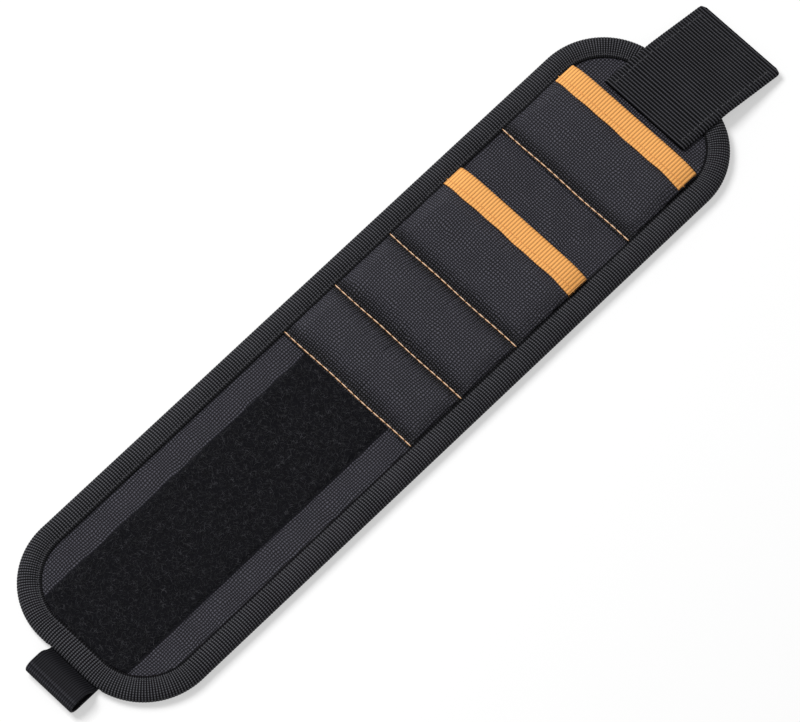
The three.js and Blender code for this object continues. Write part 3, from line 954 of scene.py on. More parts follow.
def bright_thread(name):
    """Twisted orange thread with a painted highlight: pale where its crowns face up, and a darker orange as
    painted shade on its sides.
    """
    material, shader, _, _ = new_finish(name, 0.5, 0.3)
    tree = material.node_tree
    x, y, z = object_place(tree)
    twist = twisted(y, x, z)
    _, _, upward = Wire(add_node(tree, "ShaderNodeTexCoord").outputs["Normal"]).parts()
    # painted highlight: the share of pale colour grows as the thread's surface faces up
    crown = upward.step("MAXIMUM", 0) ** 8 * (twist * 0.4 + 0.8)
    # painted shade: the sides of the thread take a darker orange
    side = [0.6 * tone for tone in colours().ribbon]
    tones = {0: crown, 6: (*side, 1), 7: (*colours().bright_thread, 1)}
    mixed = add_node(tree, "ShaderNodeMix", tones, data_type="RGBA")
    join(Wire(mixed.outputs[2]), shader.inputs["Base Color"])
    emboss(shader, twist, 0.08 * MM)
    return material


def orange_ribbon_thread(name):
    """Twisted orange thread of the ribbons, a little darker than they are."""
    material, shader, _, _ = new_finish(name, 0.5, 0.25)
    x, y, z = object_place(material.node_tree)
    twist = twisted(y, x, z)
    paint(shader, colours().ribbon, twist * 0.3 + 0.6)
    emboss(shader, twist, 0.06 * MM)
    return material


def dark_thread(name):
    """Twisted black thread."""
    material, shader, _, _ = new_finish(name, 0.55, 0.25)
    x, y, z = object_place(material.node_tree)
    twist = twisted(x, y, z)
    paint(shader, colours().dark_thread, twist * 0.9 + 0.5)
    emboss(shader, twist, 0.06 * MM)
    return material


def magnet_plating(name):
    """Bright plating with faint scuffs."""
    material, shader, _, _ = new_finish(name, 0.28, 0.5)
    shader.inputs["Metallic"].default_value = 1.0
    x, y, _ = object_place(material.node_tree)
    scuffs = mottle(x, y, 0.8 * MM, detail=6)
    paint(shader, colours().magnet, scuffs * 0.3 + 0.85)
    emboss(shader, scuffs, 0.02 * MM)
    return material


def fibre_wadding(name):
    """White matted fibre."""
    material, shader, u, v = new_finish(name, 0.95, 0.1)
    tangle = mottle(u, v, 0.8 * MM, detail=6)
    paint(shader, colours().wadding, tangle * 0.5 + 0.72)
    emboss(shader, tangle, 0.5 * MM)
    return material


# Lining and face


def magnet_beds(x, y):
    """Depth of the round beds that hold the magnets."""
    clearance = 0.05 * MM
    rim_start = 0.2 * MM
    rim_end = 1.2 * MM
    depth = np.zeros_like(x)
    for name in MAGNETS:
        low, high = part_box(name)
        middle = (low + high) / 2
        radius = (high.x - low.x) / 2
        away = np.hypot(x - middle.x, y - middle.y)
        within = 1 - smooth(radius + rim_start, radius + rim_end, away)
        depth = np.maximum(depth, (LINING_TOP - low.z + clearance) * within)
    return depth


def build_lining():
    """Padding with its mesh, from edge to edge under the face."""
    under_flange = sizes().binding_thickness + 0.05 * MM
    step_start = FLANGE + 0.2 * MM
    step_end = FLANGE + 2 * MM
    for span in range(SPAN_COUNT):
        along = rounded_stations(*span_range(span, FACE_INSET), BAND_STEP, FACE_INSET)
        x, y = band_grid(along, FACE_INSET, BAND_COLUMNS)
        bottom = under_flange * (1 - smooth(step_start, step_end, inset_at(x, y)))
        upper = points(x, y, LINING_TOP - magnet_beds(x, y))
        lower = points(x, y, lifted(x, y, bottom))
        piece = make_sheet(f"lining_{span + 1}", upper, lower, points(x, y), finish(lining_mesh))
        carry(piece, "lining_mesh", span, *nodes_of(span, "lining"))


def face_crown(x, y):
    """Slight swelling of the face where nothing is sewn over it."""
    side_swell = 0.3 * MM
    bridge_swell = 0.5 * MM
    ease = 6 * MM
    clear_half = HALF_WIDTH - CLEAR_INSET
    across = np.clip((np.abs(y) - PAD_HALF_WIDTH) / (clear_half - PAD_HALF_WIDTH), 0, 1)
    beside_pad = side_swell * np.sin(pi * across) * (x < STRETCH_START["cell_one"])
    start, end = STRETCH_START["bridge"], STRETCH_END["bridge"]
    along = np.clip((x - start) / (end - start), 0, 1)
    on_bridge = bridge_swell * np.sin(pi * along) * smooth(0, ease, clear_half - np.abs(y))
    return beside_pad + on_bridge


def build_face():
    """Woven outer face, one cloth under everything that is sewn on."""
    for span in range(SPAN_COUNT):
        start, end = span_range(span, FACE_INSET)
        along = rounded_stations(start, end, BAND_STEP, FACE_INSET)
        x, y = band_grid(along, FACE_INSET, BAND_COLUMNS)
        upper = points(x, y, FACE_TOP + face_crown(x, y))
        lower = points(x, y, FACE_BOTTOM)
        piece = make_sheet(f"face_{span + 1}", upper, lower, points(x, y), finish(woven_face))
        widths = 2 * y[:, -1]
        width = widths.max()
        end - start
        min(np.trapz(widths, along), (end - start) * width)
        carry(piece, "face_fabric", span, *nodes_of(span, "face"))


# Edge binding


def edge_length():
    """Length of the front half of the band's edge."""
    radius = sizes().corner_radius
    return 2 * (HALF_WIDTH - radius) + pi * radius + 2 * (BAND_END - radius)


def edge_frame(distance):
    """Points and outward directions along the edge's front half, from the tail's middle to the strap's."""
    radius = sizes().corner_radius
    straight = HALF_WIDTH - radius
    quarter = radius * pi / 2
    side = 2 * (BAND_END - radius)
    first_turn = np.clip((distance - straight) / radius, 0, pi / 2)
    second_turn = np.clip((distance - straight - quarter - side) / radius, 0, pi / 2)
    turn = first_turn + second_turn
    outward = points(-np.cos(turn), -np.sin(turn))
    centre_x = np.clip(distance - straight - quarter, 0, side) - (BAND_END - radius)
    centre_y = -np.minimum(np.minimum(distance, edge_length() - distance), straight)
    return points(centre_x, centre_y) + radius * outward, outward


def inside_edge(distance, inset, side):
    """X and Y of a grid along one side's edge, drawn in from it by insets."""
    edge, outward = edge_frame(distance)
    place = edge[:, None, :] - outward[:, None, :] * inset[None, :, None]
    return place[..., 0], side * place[..., 1]


def edge_cuts():
    """Distances along the edge at which the binding is cut into spans.

    In a corner the cut runs along a radius, so it lies past the span's end for every inset.
    """
    radius = sizes().corner_radius
    corner_x = BAND_END - radius
    straight = HALF_WIDTH - radius
    side_start = straight + radius * pi / 2
    cuts = [0.0]
    for x in MIDDLES:
        past = max(0.0, abs(x) - corner_x)
        turn = radius * asin(past / (radius - FLANGE))
        along = np.clip(x, -corner_x, corner_x) + corner_x
        cuts.append(side_start + along + np.sign(x) * turn)
    return [*cuts, edge_length()]


def binding_profile():
    """Inset and height of the tape's outside, from its lower inner edge round to its upper inner edge."""
    round_reach = 2.2 * MM
    round_points = 15
    flange_points = 18
    low = sizes().binding_rib
    turn = np.linspace(-pi / 2, pi / 2, round_points)
    edge_inset = round_reach * (1 - np.cos(turn))
    edge_height = (BINDING_TOP + low) / 2 + (BINDING_TOP - low) / 2 * np.sin(turn)
    flange = np.linspace(round_reach, FLANGE, flange_points)[1:]
    inset = np.concatenate([flange[::-1], edge_inset, flange])
    height = np.concatenate([np.full_like(flange, low), edge_height, np.full_like(flange, BINDING_TOP)])
    return inset, height


def strap_middle(x):
    """Y of the strap's centre line at x."""
    return STRAP_HINGE.y - (x - STRAP_HINGE.x) * tan(sizes().strap_lean)


def under_strap(x, y):
    """1 where the strap presses on the binding, 0 clear of it."""
    side_ease = 3 * MM
    end_ease = 4 * MM
    half = sizes().strap_width / 2
    beside = 1 - smooth(half, half + side_ease, np.abs(y - strap_middle(x)))
    start = STRAP_HINGE.x - sizes().strap_sewn
    return beside * smooth(start, start + end_ease, x)


def binding_surface(distance, side):
    """Grids of the binding's outer and inner surface along one side of the band."""
    puff_start = 1.2 * MM
    edge_pull = 0.2 * MM
    inset, height = binding_profile()
    x, y = inside_edge(distance, inset, side)
    seam = sizes().binding_seam
    swell = np.clip((inset - puff_start) / (seam - puff_start), 0, 1)
    wobble = 0.10 * np.sin(distance / (5.9 * MM)) + 0.07 * np.sin(distance / (2.7 * MM) + side)
    puff = sizes().binding_puff * np.sin(pi * swell) ** 1.5 * (1 + wobble[:, None])
    puff = puff * (1 - under_strap(x, y))
    at_seam = dip(inset - seam, 0.55 * MM)
    at_edge = dip(inset - FLANGE, 0.5 * MM)
    pull = sizes().binding_groove * at_seam + edge_pull * at_edge
    on_top = height >= BINDING_TOP - TOUCH
    at_bottom = height <= sizes().binding_rib + TOUCH
    outer_z = height + np.where(on_top, puff - pull, 0) + np.where(at_bottom, pull, 0)
    thickness = sizes().binding_thickness
    inner_x, inner_y = inside_edge(distance, np.maximum(inset, sizes().binding_wall), side)
    inner_z = np.clip(height, thickness, BINDING_TOP - thickness)
    outer = points(x, y, lifted(x, y, outer_z))
    inner = points(inner_x, inner_y, lifted(inner_x, inner_y, inner_z))
    return outer, inner


def build_binding():
    """Ribbed tape folded round the band's whole edge."""
    cuts = edge_cuts()
    inset, height = binding_profile()
    across = travelled(points(inset, height))
    pitch = sizes().binding_pitch
    shadow = smooth(FLANGE - 0.9 * MM, FLANGE - 0.5 * MM, inset)
    for span in range(SPAN_COUNT):
        distance = stations([cuts[span], cuts[span + 1]], pitch / STATIONS_PER_RIB)
        cloth = points(distance[:, None], across)
        shade = np.broadcast_to(shadow, cloth.shape[:2])
        for side, name in ((1, "front"), (-1, "back")):
            grids = binding_surface(distance, side)
            title = f"binding_{name}_{span + 1}"
            piece = make_sheet(title, *grids, cloth, finish(binding_tape), shade)
            add_ribs(piece, pitch, sizes().binding_rib)
            round_end = span in (0, len(STRETCHES) - 1)
            nodes = nodes_of(span, "binding" if round_end else f"binding_{name}")
            carry(piece, "binding_tape", span, *nodes)


# Loop pad


def build_loop_pad():
    """Loop tape along the tail, with its fibres standing on it."""
    edge_height = 0.35 * MM
    crown = 0.5 * MM
    bare_side = 0.4 * MM
    pad_end = STRETCH_START["cell_one"] - sizes().hem - 0.2 * MM
    fibre_half = PAD_HALF_WIDTH - bare_side
    for span in range(len(TAIL_STRETCHES) + 1):
        start, end = span_range(span, CLEAR_INSET)
        along = rounded_stations(start, min(end, pad_end), BAND_STEP, CLEAR_INSET)
        x, y = band_grid(along, CLEAR_INSET, CLOTH_COLUMNS, PAD_HALF_WIDTH)
        rounding = smooth(0.5 * MM, 1.6 * MM, PAD_HALF_WIDTH - np.abs(y))
        top = ON_FACE + edge_height + crown * rounding
        upper = points(x, y, top)
        lower = points(x, y, ON_FACE)
        piece = make_sheet(f"loop_pad_{span + 1}", upper, lower, points(x, y), finish(loop_pile))
        nodes = nodes_of(span, "loop_pad") if span < len(TAIL_STRETCHES) else []
        carry(piece, "loop_pile", span, *nodes)
        strew_fibres(span, points(x, np.clip(y, -fibre_half, fibre_half), top))


def strew_fibres(span, bed):
    """Loose fibres over one span of the loop pad."""
    name = f"loop_fibres_{span + 1}"
    fibres = add_object(name, grid_mesh(name, bed), finish(pile_fibre))
    values = {
        "Density": 1 / sizes().pile_pitch ** 2,
        "Seed": bpy.context.scene.wristband_stage.seed + span,
        "Material": finish(pile_fibre),
    }
    grow(fibres, shared_tree(pile_tree), values)
    carry(fibres, "loop_pile", span)


# Quilted cells and pockets


def cell_height(name, x, y):
    """Height of a cell's underside before its cloth settles."""
    start, end = STRETCH_START[name], STRETCH_END[name]
    along = np.clip(1 - (2 * (x - start) / (end - start) - 1) ** 2, 0, 1)
    across = np.clip(1 - (y / half_width_at(x, CLEAR_INSET)) ** 2, 0, 1)
    return ON_FACE + sizes().cell_crown * np.sqrt(along * across)


def ribbon_fold():
    """Room that the ribbon takes on either side of its panel."""
    return sizes().ribbon_thickness + sizes().ribbon_clearance


def pocket_shape(name):
    """Start, ribbon's start, panel's end and mouth of a pocket along X, and the rise of its arch."""
    low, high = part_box(f"{name}_panel")
    ribbon_low, ribbon_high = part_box(f"{name}_ribbon")
    rise = high.z - sizes().cloth_thickness - ON_FACE - ribbon_fold() - sizes().pocket_sag
    return low.x, ribbon_low.x, high.x, ribbon_high.x, rise


def pocket_height(name, x, y):
    """Height of a pocket panel's underside, arched between its sewn line and its mouth."""
    start, ribbon_start, _, mouth, rise = pocket_shape(name)
    along = np.clip((x - start) / (mouth - start), 0, 1)
    across = np.clip(1 - (y / half_width_at(x, CLEAR_INSET)) ** 8, 0, 1)
    lift = ribbon_fold() * np.clip((x - start) / (ribbon_start - start), 0, 1)
    return ON_FACE + lift + rise * (1 - (1 - along) ** 2) * across


def puff_cloth(grid, held, slack):
    """Where a cloth grid settles under air pressure from below, with its held points left in place."""
    scene = bpy.context.scene
    mesh = grid_mesh("puffing cloth", grid * PUFF_SCALE)
    cloth = add_object("puffing_cloth", mesh, finish(woven_face))
    group = cloth.vertex_groups.new(name="held")
    group.add(np.flatnonzero(held).tolist(), 1.0, "REPLACE")
    modifier = cloth.modifiers.new("Puff", "CLOTH")
    modifier.settings.quality = PUFF_QUALITY
    modifier.settings.vertex_group_mass = group.name
    modifier.settings.use_pressure = True
    modifier.settings.uniform_pressure_force = PUFF_PRESSURE
    modifier.settings.shrink_min = -slack
    modifier.settings.effector_weights.gravity = 0
    modifier.point_cache.frame_end = PUFF_FRAMES
    for number in range(1, PUFF_FRAMES + 1):
        scene.frame_set(number)
    evaluated = cloth.evaluated_get(bpy.context.evaluated_depsgraph_get())
    settled = np.empty(held.size * 3, np.float32)
    evaluated.data.vertices.foreach_get("co", settled)
    bpy.data.objects.remove(cloth)
    bpy.data.meshes.remove(mesh)
    scene.frame_set(1)
    return settled.reshape(grid.shape) / PUFF_SCALE


def settled_cloth(places, height_at, held_at, limit):
    """A cloth from the first place along X to the last, puffed where it isn't held, as a grid."""
    along = stations(places, CLOTH_STEP)
    x, y = band_grid(along, CLEAR_INSET, CLOTH_COLUMNS)
    grid = points(x, y, height_at(x, y))
    held = held_at(x)
    held[0] = held[-1] = True
    held[:, 0] = held[:, -1] = True
    settled = puff_cloth(grid, held, sizes().cloth_slack)
    moved = np.clip(settled - grid, -limit, limit)
    return along, grid, grid + moved


def seam_shade(x):
    """How strongly the bright seams draw the cloth in, from 0 to 1, which also sets the painted shade in
    their grooves.
    """
    ahead = 3.4 * MM
    behind = 2.2 * MM
    pull = np.zeros_like(x)
    for name in (*CELLS, *POCKETS):
        past = x - STRETCH_START[name]
        pull = np.maximum(pull, dip(past, np.where(past > 0, ahead, behind)))
    return pull


def rows_between(along, start, end):
    """Which stations lie between two places, with those at the places themselves."""
    return (along > start - TOUCH) & (along < end + TOUCH)


def add_panel(name, along, flat, settled, start, end):
    """The part of a settled cloth between two places, as a closed sheet."""
    rows = rows_between(along, start, end)
    lower = settled[rows]
    upper = lower + np.array([0, 0, sizes().cloth_thickness])
    cloth = flat[rows][..., :2]
    return make_sheet(name, upper, lower, cloth, finish(woven_face), seam_shade(cloth[..., 0]))


def panel_size(start, end):
    """Flat width and length of a panel between two places."""
    width = 2 * half_width_at((start + end) / 2, CLEAR_INSET)
    return width, end - start


def build_quilt():
    """Two puffed cells and the first pocket, one cloth sewn down along the bright lines."""
    first, second = (STRETCH_START[name] for name in CELLS)
    third = STRETCH_START["pocket_one"]
    _, ribbon_start, panel_end, _, _ = pocket_shape("pocket_one")
    middles = [MIDDLES[STRETCHES.index(name)] for name in (*CELLS, "pocket_one")]
    hem = first - sizes().hem
    places = [hem, first, middles[0], second, middles[1], third, middles[2], ribbon_start, panel_end]

    def height_at(x, y):
        cells = np.where(x < second, cell_height("cell_one", x, y), cell_height("cell_two", x, y))
        return np.where(x < third, cells, pocket_height("pocket_one", x, y))

    def held_at(x):
        on_seam = np.isclose(x, second, atol=TOUCH) | np.isclose(x, third, atol=TOUCH)
        return on_seam | (x < first + TOUCH) | (x > ribbon_start - TOUCH)

    along, flat, settled = settled_cloth(places, height_at, held_at, limit=1.6 * MM)
    cuts = {"cell_one": (hem, middles[0], second), "cell_two": (second, middles[1], third)}
    for name, places in cuts.items():
        for half in halves(*places):
            number, start, end = half
            piece = add_panel(f"{name}_cover_{number}", along, flat, settled, start, end)
            carry_half(piece, "face_fabric", half, f"{name}_cover")
        build_wadding(name, along, flat, settled)
    build_pocket("pocket_one", along, flat, settled, third)


def build_wadding(name, along, flat, settled):
    """Filling under a puffed cell, in two halves."""
    gap = 0.25 * MM
    margin = 3 * MM
    least = 0.2 * MM
    inner = slice(4, -4)
    start, end = STRETCH_START[name], STRETCH_END[name]
    for half in halves(start + margin, (start + end) / 2, end - margin):
        number, low, high = half
        rows = rows_between(along, low, high)
        upper = settled[rows][:, inner] - np.array([0, 0, gap])
        upper[..., 2] = np.maximum(upper[..., 2], ON_FACE + least)
        lower = points(upper[..., 0], upper[..., 1], ON_FACE)
        cloth = flat[rows][:, inner, :2]
        piece = make_sheet(f"{name}_wadding_{number}", upper, lower, cloth, finish(fibre_wadding))
        carry_half(piece, "wadding", half, f"{name}_wadding")


def build_pocket(name, along, flat, settled, start):
    """A pocket's panel in two halves."""
    _, _, panel_end, _, _ = pocket_shape(name)
    for half in halves(start, MIDDLES[STRETCHES.index(name)], panel_end):
        number, low, high = half
        piece = add_panel(f"{name}_panel_{number}", along, flat, settled, low, high)
        below = f"face_{span_holding(low) + 1}"
        panel_size(low, high)
        carry_half(piece, "face_fabric", half, f"{name}_panel")


def build_second_pocket():
    """The second pocket, a cloth of its own."""
    name = "pocket_two"
    start = STRETCH_START[name]
    _, ribbon_start, panel_end, _, _ = pocket_shape(name)
    hem = start - sizes().hem
    places = [hem, start, MIDDLES[STRETCHES.index(name)], ribbon_start, panel_end]

    def height_at(x, y):
        return pocket_height(name, x, y)

    def held_at(x):
        return (x < start + TOUCH) | (x > ribbon_start - TOUCH)

    along, flat, settled = settled_cloth(places, height_at, held_at, limit=1.2 * MM)
    build_pocket(name, along, flat, settled, hem)


# Ribbons at the pocket mouths


def ribbon_surface(name, y, out):
    """One face of the folded ribbon, out being its distance from the panel."""
    columns = 9
    rows = len(y)
    _, ribbon_start, panel_end, mouth, _ = pocket_shape(name)
    fold_end = panel_end + sizes().ribbon_clearance
    waver = 0.09 * MM * np.sin(y / (1.9 * MM)) + 0.1 * MM * np.sin(y / (4.3 * MM))
    share = np.linspace(0, 1, columns)[None, :]
    top_x = (ribbon_start + waver) * (1 - share) + fold_end * share
    under_x = np.repeat(ribbon_start * (1 - share) + fold_end * share, rows, axis=0)
    top_z = pocket_height(name, top_x, y) + sizes().cloth_thickness + out
    under_z = pocket_height(name, under_x, y) - out
    turn = np.linspace(-pi / 2, pi / 2, columns)[None, 1:-1]
    middle_z = (top_z[:, -1:] + under_z[:, -1:]) / 2
    tall = (top_z[:, -1:] - under_z[:, -1:]) / 2
    deep = (mouth - fold_end) * out / ribbon_fold()
    fold_x = np.repeat(fold_end + deep * np.cos(turn), rows, axis=0)
    fold_z = middle_z + tall * np.sin(turn)
    x = np.concatenate([under_x, fold_x, top_x[:, ::-1]], axis=1)
    z = np.concatenate([under_z, fold_z, top_z[:, ::-1]], axis=1)
    return points(x, y, z)


def build_ribbons():
    """Orange ribbon folded over each pocket's mouth."""
    pitch = sizes().ribbon_pitch
    for name in POCKETS:
        _, ribbon_start, _, mouth, _ = pocket_shape(name)
        half = half_width_at(mouth, CLEAR_INSET)
        y = stations([-half, half], pitch / STATIONS_PER_RIB)[:, None]
        outer = ribbon_surface(name, y, ribbon_fold())
        inner = ribbon_surface(name, y, sizes().ribbon_clearance)
        round_fold = np.linspace(0, 2 * (mouth - ribbon_start), outer.shape[1])
        cloth = points(y, round_fold)
        piece = make_sheet(f"{name}_ribbon_tape", outer, inner, cloth, finish(orange_ribbon))
        add_ribs(piece, pitch, sizes().ribbon_rib)
        carry(piece, "orange_ribbon", span_holding((ribbon_start + mouth) / 2), f"{name}_ribbon")


# Closing strap


def strap_place(s, y, depth):
    """Points of the strap: s along it from its sewn end, y across it and depth under its top."""
    sewn = sizes().strap_sewn
    climb_start = sewn - 12.5 * MM
    climb_end = sewn - 8.5 * MM
    droop_ease = 1.5 * MM
    past = np.maximum(s - sewn, 0)
    droop = past**2 / (past + droop_ease) * sin(STRAP_SLOPE)
    low_top = ON_FACE + sizes().strap_thickness
    top = low_top + (STRAP_HINGE.z - low_top) * smooth(climb_start, climb_end, s) - droop
    tilt = STRAP_SLOPE * smooth(sewn - 1 * MM, sewn + 3 * MM, s)
    reach = np.minimum(s, sewn) - sewn + past * cos(STRAP_SLOPE) - depth * np.sin(tilt)
    lean = (s - sewn) * tan(sizes().strap_lean)
    return points(STRAP_HINGE.x + reach, STRAP_HINGE.y - lean + y, top - depth * np.cos(tilt))


def strap_tip():
    """Length of the strap from its sewn end to its tip."""
    return sizes().strap_sewn + sizes().strap_free


def strap_half_width(s):
    """Half of the strap's width, drawn in at the rounded corners of its tip."""
    corner = sizes().strap_corner
    into_corner = np.clip(s - (strap_tip() - corner), 0, corner)
    return sizes().strap_width / 2 - corner + np.sqrt(corner**2 - into_corner**2)


def strap_cut():
    """Where the strap is cut in two, at the middle of the last stretch."""
    return MIDDLES[-1] - STRAP_HINGE.x + sizes().strap_sewn


def add_strap_part(name, start, end):
    """One length of ribbed webbing."""
    pitch = sizes().strap_pitch
    thickness = sizes().strap_thickness
    s = stations([start, end], pitch / STATIONS_PER_RIB)[:, None]
    half = strap_half_width(s)
    y = np.linspace(-1, 1, STRAP_COLUMNS) * half
    fullness = rounded_side(half - np.abs(y), 0.8 * MM)
    s = np.broadcast_to(s, y.shape)
    upper = strap_place(s, y, thickness / 2 * (1 - fullness))
    lower = strap_place(s, y, thickness / 2 * (1 + fullness))
    piece = make_sheet(name, upper, lower, points(s, y), finish(strap_webbing))
    return add_ribs(piece, pitch, sizes().strap_rib)


def follow_tongue(piece):
    """Keeps a piece of the strap's tongue where it is, with its place baked into its mesh."""
    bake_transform(piece)


def build_strap():
    """Webbing sewn over the band's end, and its free tongue with the hook pad under it."""
    cut = strap_cut()
    inner = add_strap_part("strap_inner", 0, cut)
    carry(inner, "strap_webbing", SPAN_COUNT - 2, "strap_sewn_end")
    outer = add_strap_part("strap_outer", cut, strap_tip())
    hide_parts("strap_tongue")
    follow_tongue(outer)
    build_hook_pad()


def build_hook_pad():
    """Backing of the hook pad under the strap's tongue, and its field of hooks."""
    margin = 2 * MM
    bend_room = 4 * MM
    gap = 0.2 * MM
    backing = 0.5 * MM
    bevel = 0.15 * MM
    bevel_reach = 0.8 * MM
    start = sizes().strap_sewn + bend_room
    end = strap_tip() - margin
    half = sizes().strap_width / 2 - margin
    top = sizes().strap_thickness + gap
    s = stations([start, end], 1 * MM)[:, None]
    y = np.linspace(-half, half, 35)
    from_edge = np.minimum(np.minimum(s - start, end - s), half - np.abs(y))
    thickness = backing - bevel * (1 - smooth(0, bevel_reach, from_edge))
    upper = strap_place(s, y, top)
    lower = strap_place(s, y, top + thickness)
    plate = make_sheet("hook_backing", upper, lower, points(s, y), finish(hook_plastic))
    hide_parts("strap_hook_pad")
    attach(plate, "strap_tongue")
    pitch = sizes().hook_pitch
    s = stations([start + pitch, end - pitch], pitch)[:, None]
    y = stations([-half + pitch, half - pitch], pitch)
    bed = bpy.data.meshes.new("hook bed")
    bed.from_pydata(strap_place(s, y, top + backing).reshape(-1, 3).tolist(), [], [])
    hooks = add_object("hook_field", bed, finish(hook_plastic))
    grow(hooks, shared_tree(hook_tree), {"Material": finish(hook_plastic)})
    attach(hooks, "strap_tongue")


# Pull loop


def curve_between(start, first, second, end, steps):
    """Points on a cubic curve after its start."""
    t = np.linspace(0, 1, steps + 1)[1:, None]
    corners = [np.array(p) for p in (start, first, second, end)]
    weights = ((1 - t) ** 3, 3 * t * (1 - t) ** 2, 3 * t**2 * (1 - t), t**3)
    return sum(weight * corner for weight, corner in zip(weights, corners))


def pull_path():
    """Middle line of the folded elastic in X and Z, from its upper tail round the tip to its lower tail."""
    thickness = (TAILS_HIGH.z - TAILS_LOW.z) / 2
    upper = TAILS_HIGH.z - thickness / 2
    lower = TAILS_LOW.z + thickness / 2
    top = LOOP_HIGH.z - thickness / 2
    radius = (top - lower) / 2
    tip_x = LOOP_LOW.x + thickness / 2 + radius
    root = BAND_START + 1 * MM
    shoulder = tip_x + 3 * MM
    bend = (root + shoulder) / 2
    tail = [(x, upper) for x in np.linspace(TAILS_HIGH.x, root, 12)]
    rise = curve_between((root, upper), (bend, upper), (bend, top), (shoulder, top), 20)
    over = [(x, top) for x in np.linspace(shoulder, tip_x, 6)[1:]]
    turn = np.linspace(pi / 2, 3 * pi / 2, 25)[1:]
    tip = points(tip_x + radius * np.cos(turn), (top + lower) / 2 + radius * np.sin(turn))
    back = [(x, lower) for x in np.linspace(tip_x, TAILS_HIGH.x, 40)[1:]]
    return np.concatenate([tail, rise, over, tip, back]), thickness


def tip_rows(path):
    """The two bright rows across the top of the pull loop's tip, where a painted highlight lightens the
    cloth.
    """
    breadth = 0.3 * MM
    from_tip = path[:, 0] - LOOP_LOW.x
    on_top = path[:, 1] > (LOOP_LOW.z + LOOP_HIGH.z) / 2
    return on_top * (dip(from_tip - 1.3 * MM, breadth) + dip(from_tip - 2.7 * MM, breadth))


def build_pull_loop():
    """Elastic folded to a teardrop, with its tails sewn under the band's end."""
    rib_room = 0.06 * MM
    tip_highlight = 1.6
    path, thickness = pull_path()
    ahead = np.gradient(path, axis=0)
    ahead /= np.linalg.norm(ahead, axis=1, keepdims=True)
    outward = points(ahead[:, 1], -ahead[:, 0])
    pitch = sizes().elastic_pitch
    y = stations([TAILS_LOW.y, TAILS_HIGH.y], pitch / STATIONS_PER_RIB)[None, :]
    from_side = np.minimum(y - TAILS_LOW.y, TAILS_HIGH.y - y)
    half = (thickness / 2 - rib_room) * rounded_side(from_side, 0.6 * MM)
    grids = []
    for sign in (1, -1):
        x = path[:, :1] + sign * outward[:, :1] * half
        z = path[:, 1:] + sign * outward[:, 1:] * half
        grids.append(points(x, y, z))
    cloth = points(y, travelled(path)[:, None])
    # painted highlight: the two rows on the tip are painted paler
    shade = np.broadcast_to(-tip_highlight * tip_rows(path)[:, None], cloth.shape[:2])
    piece = make_sheet("pull_loop_elastic", *grids, cloth, finish(pull_elastic), shade)
    add_ribs(piece, pitch, sizes().elastic_rib)
    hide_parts("pull_loop_tails", "pull_loop")
    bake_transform(piece)


# Sewing


def sew_seams():
    """Orange stitches along the lines that hold the cells and the pockets."""
    side_margin = 1.2 * MM
    level = ON_FACE + sizes().cloth_thickness + 0.1 * MM
    stitch = sizes().stitch_pitch, sizes().stitch_length, sizes().thread
    for number, name in enumerate((*CELLS, *POCKETS)):
        x = STRETCH_START[name]
        half = half_width_at(x, CLEAR_INSET) - side_margin
        y = np.linspace(-half, half, 60)
        waver = 0.12 * MM * np.sin(y / (5 * MM))
        line = points(x + waver, y, level)
        rows = sew(f"bright_stitches_{number + 1}", [line], finish(bright_thread), *stitch)
        carry(rows, "orange_ribbon", span_holding(x))


def sew_ribbons():
    """Fine orange stitches along the ribbons."""
    side_margin = 0.5 * MM
    seam_share = 0.24
    stitch = sizes().stitch_pitch * 0.9, sizes().stitch_length * 0.85, sizes().thread * 0.7
    over_panel = sizes().cloth_thickness + sizes().ribbon_clearance + sizes().ribbon_thickness
    for name in POCKETS:
        _, ribbon_start, _, mouth, _ = pocket_shape(name)
        x = ribbon_start + seam_share * (mouth - ribbon_start)
        half = half_width_at(mouth, CLEAR_INSET) - side_margin
        y = np.linspace(-half, half, 80)
        line = points(x, y, pocket_height(name, x, y) + over_panel + sizes().ribbon_rib * 0.6)
        rows = sew(f"{name}_ribbon_stitches", [line], finish(orange_ribbon_thread), *stitch)
        carry(rows, "orange_ribbon", span_holding(x))


def sew_binding():
    """Black stitches that hold the binding, on the face and on the wrist side."""
    cuts = edge_cuts()
    seam = np.array([sizes().binding_seam])
    sunk = sizes().binding_groove - 0.12 * MM
    stitch = sizes().dark_pitch, sizes().dark_length, sizes().thread * 0.8
    for span in range(SPAN_COUNT):
        distance = stations([cuts[span], cuts[span + 1]], 1 * MM)
        lines = []
        for side in (1, -1):
            x, y = (place[:, 0] for place in inside_edge(distance, seam, side))
            lines.append(points(x, y, BINDING_TOP - sunk))
            lines.append(points(x, y, lifted(x, y, sizes().binding_rib + sunk)))
        rows = sew(f"binding_stitches_{span + 1}", lines, finish(dark_thread), *stitch)
        carry(rows, "binding_tape", span)


def sew_strap():
    """Black stitches round the strap, through the band and through the hook pad."""
    seam = sizes().strap_seam
    cut = strap_cut()
    last = strap_tip() - 1.4 * seam
    half = sizes().strap_width / 2 - seam
    depth = sizes().strap_rib * 0.2
    across = np.linspace(-half, half, 40)
    first_row = strap_place(np.full_like(across, seam), across, depth)
    last_row = strap_place(np.full_like(across, last), across, depth)
    inner_along = np.linspace(seam, cut, 10)
    outer_along = np.linspace(cut, last, 30)
    inner_sides = [strap_place(inner_along, side, depth) for side in (-half, half)]
    outer_sides = [strap_place(outer_along, side, depth) for side in (-half, half)]
    stitch = finish(dark_thread), sizes().dark_pitch, sizes().dark_length, sizes().thread
    inner = sew("strap_stitches_inner", [first_row, *inner_sides], *stitch)
    carry(inner, "strap_webbing", SPAN_COUNT - 2)
    outer = sew("strap_stitches_outer", [last_row, *outer_sides], *stitch)
    follow_tongue(outer)


def finish_magnets():
    """Plating on the magnets' own solids."""
    for name in MAGNETS:
        materials = frame["nodes"][name].data.materials
        materials.clear()
        materials.append(finish(magnet_plating))


# Camera, floor and light


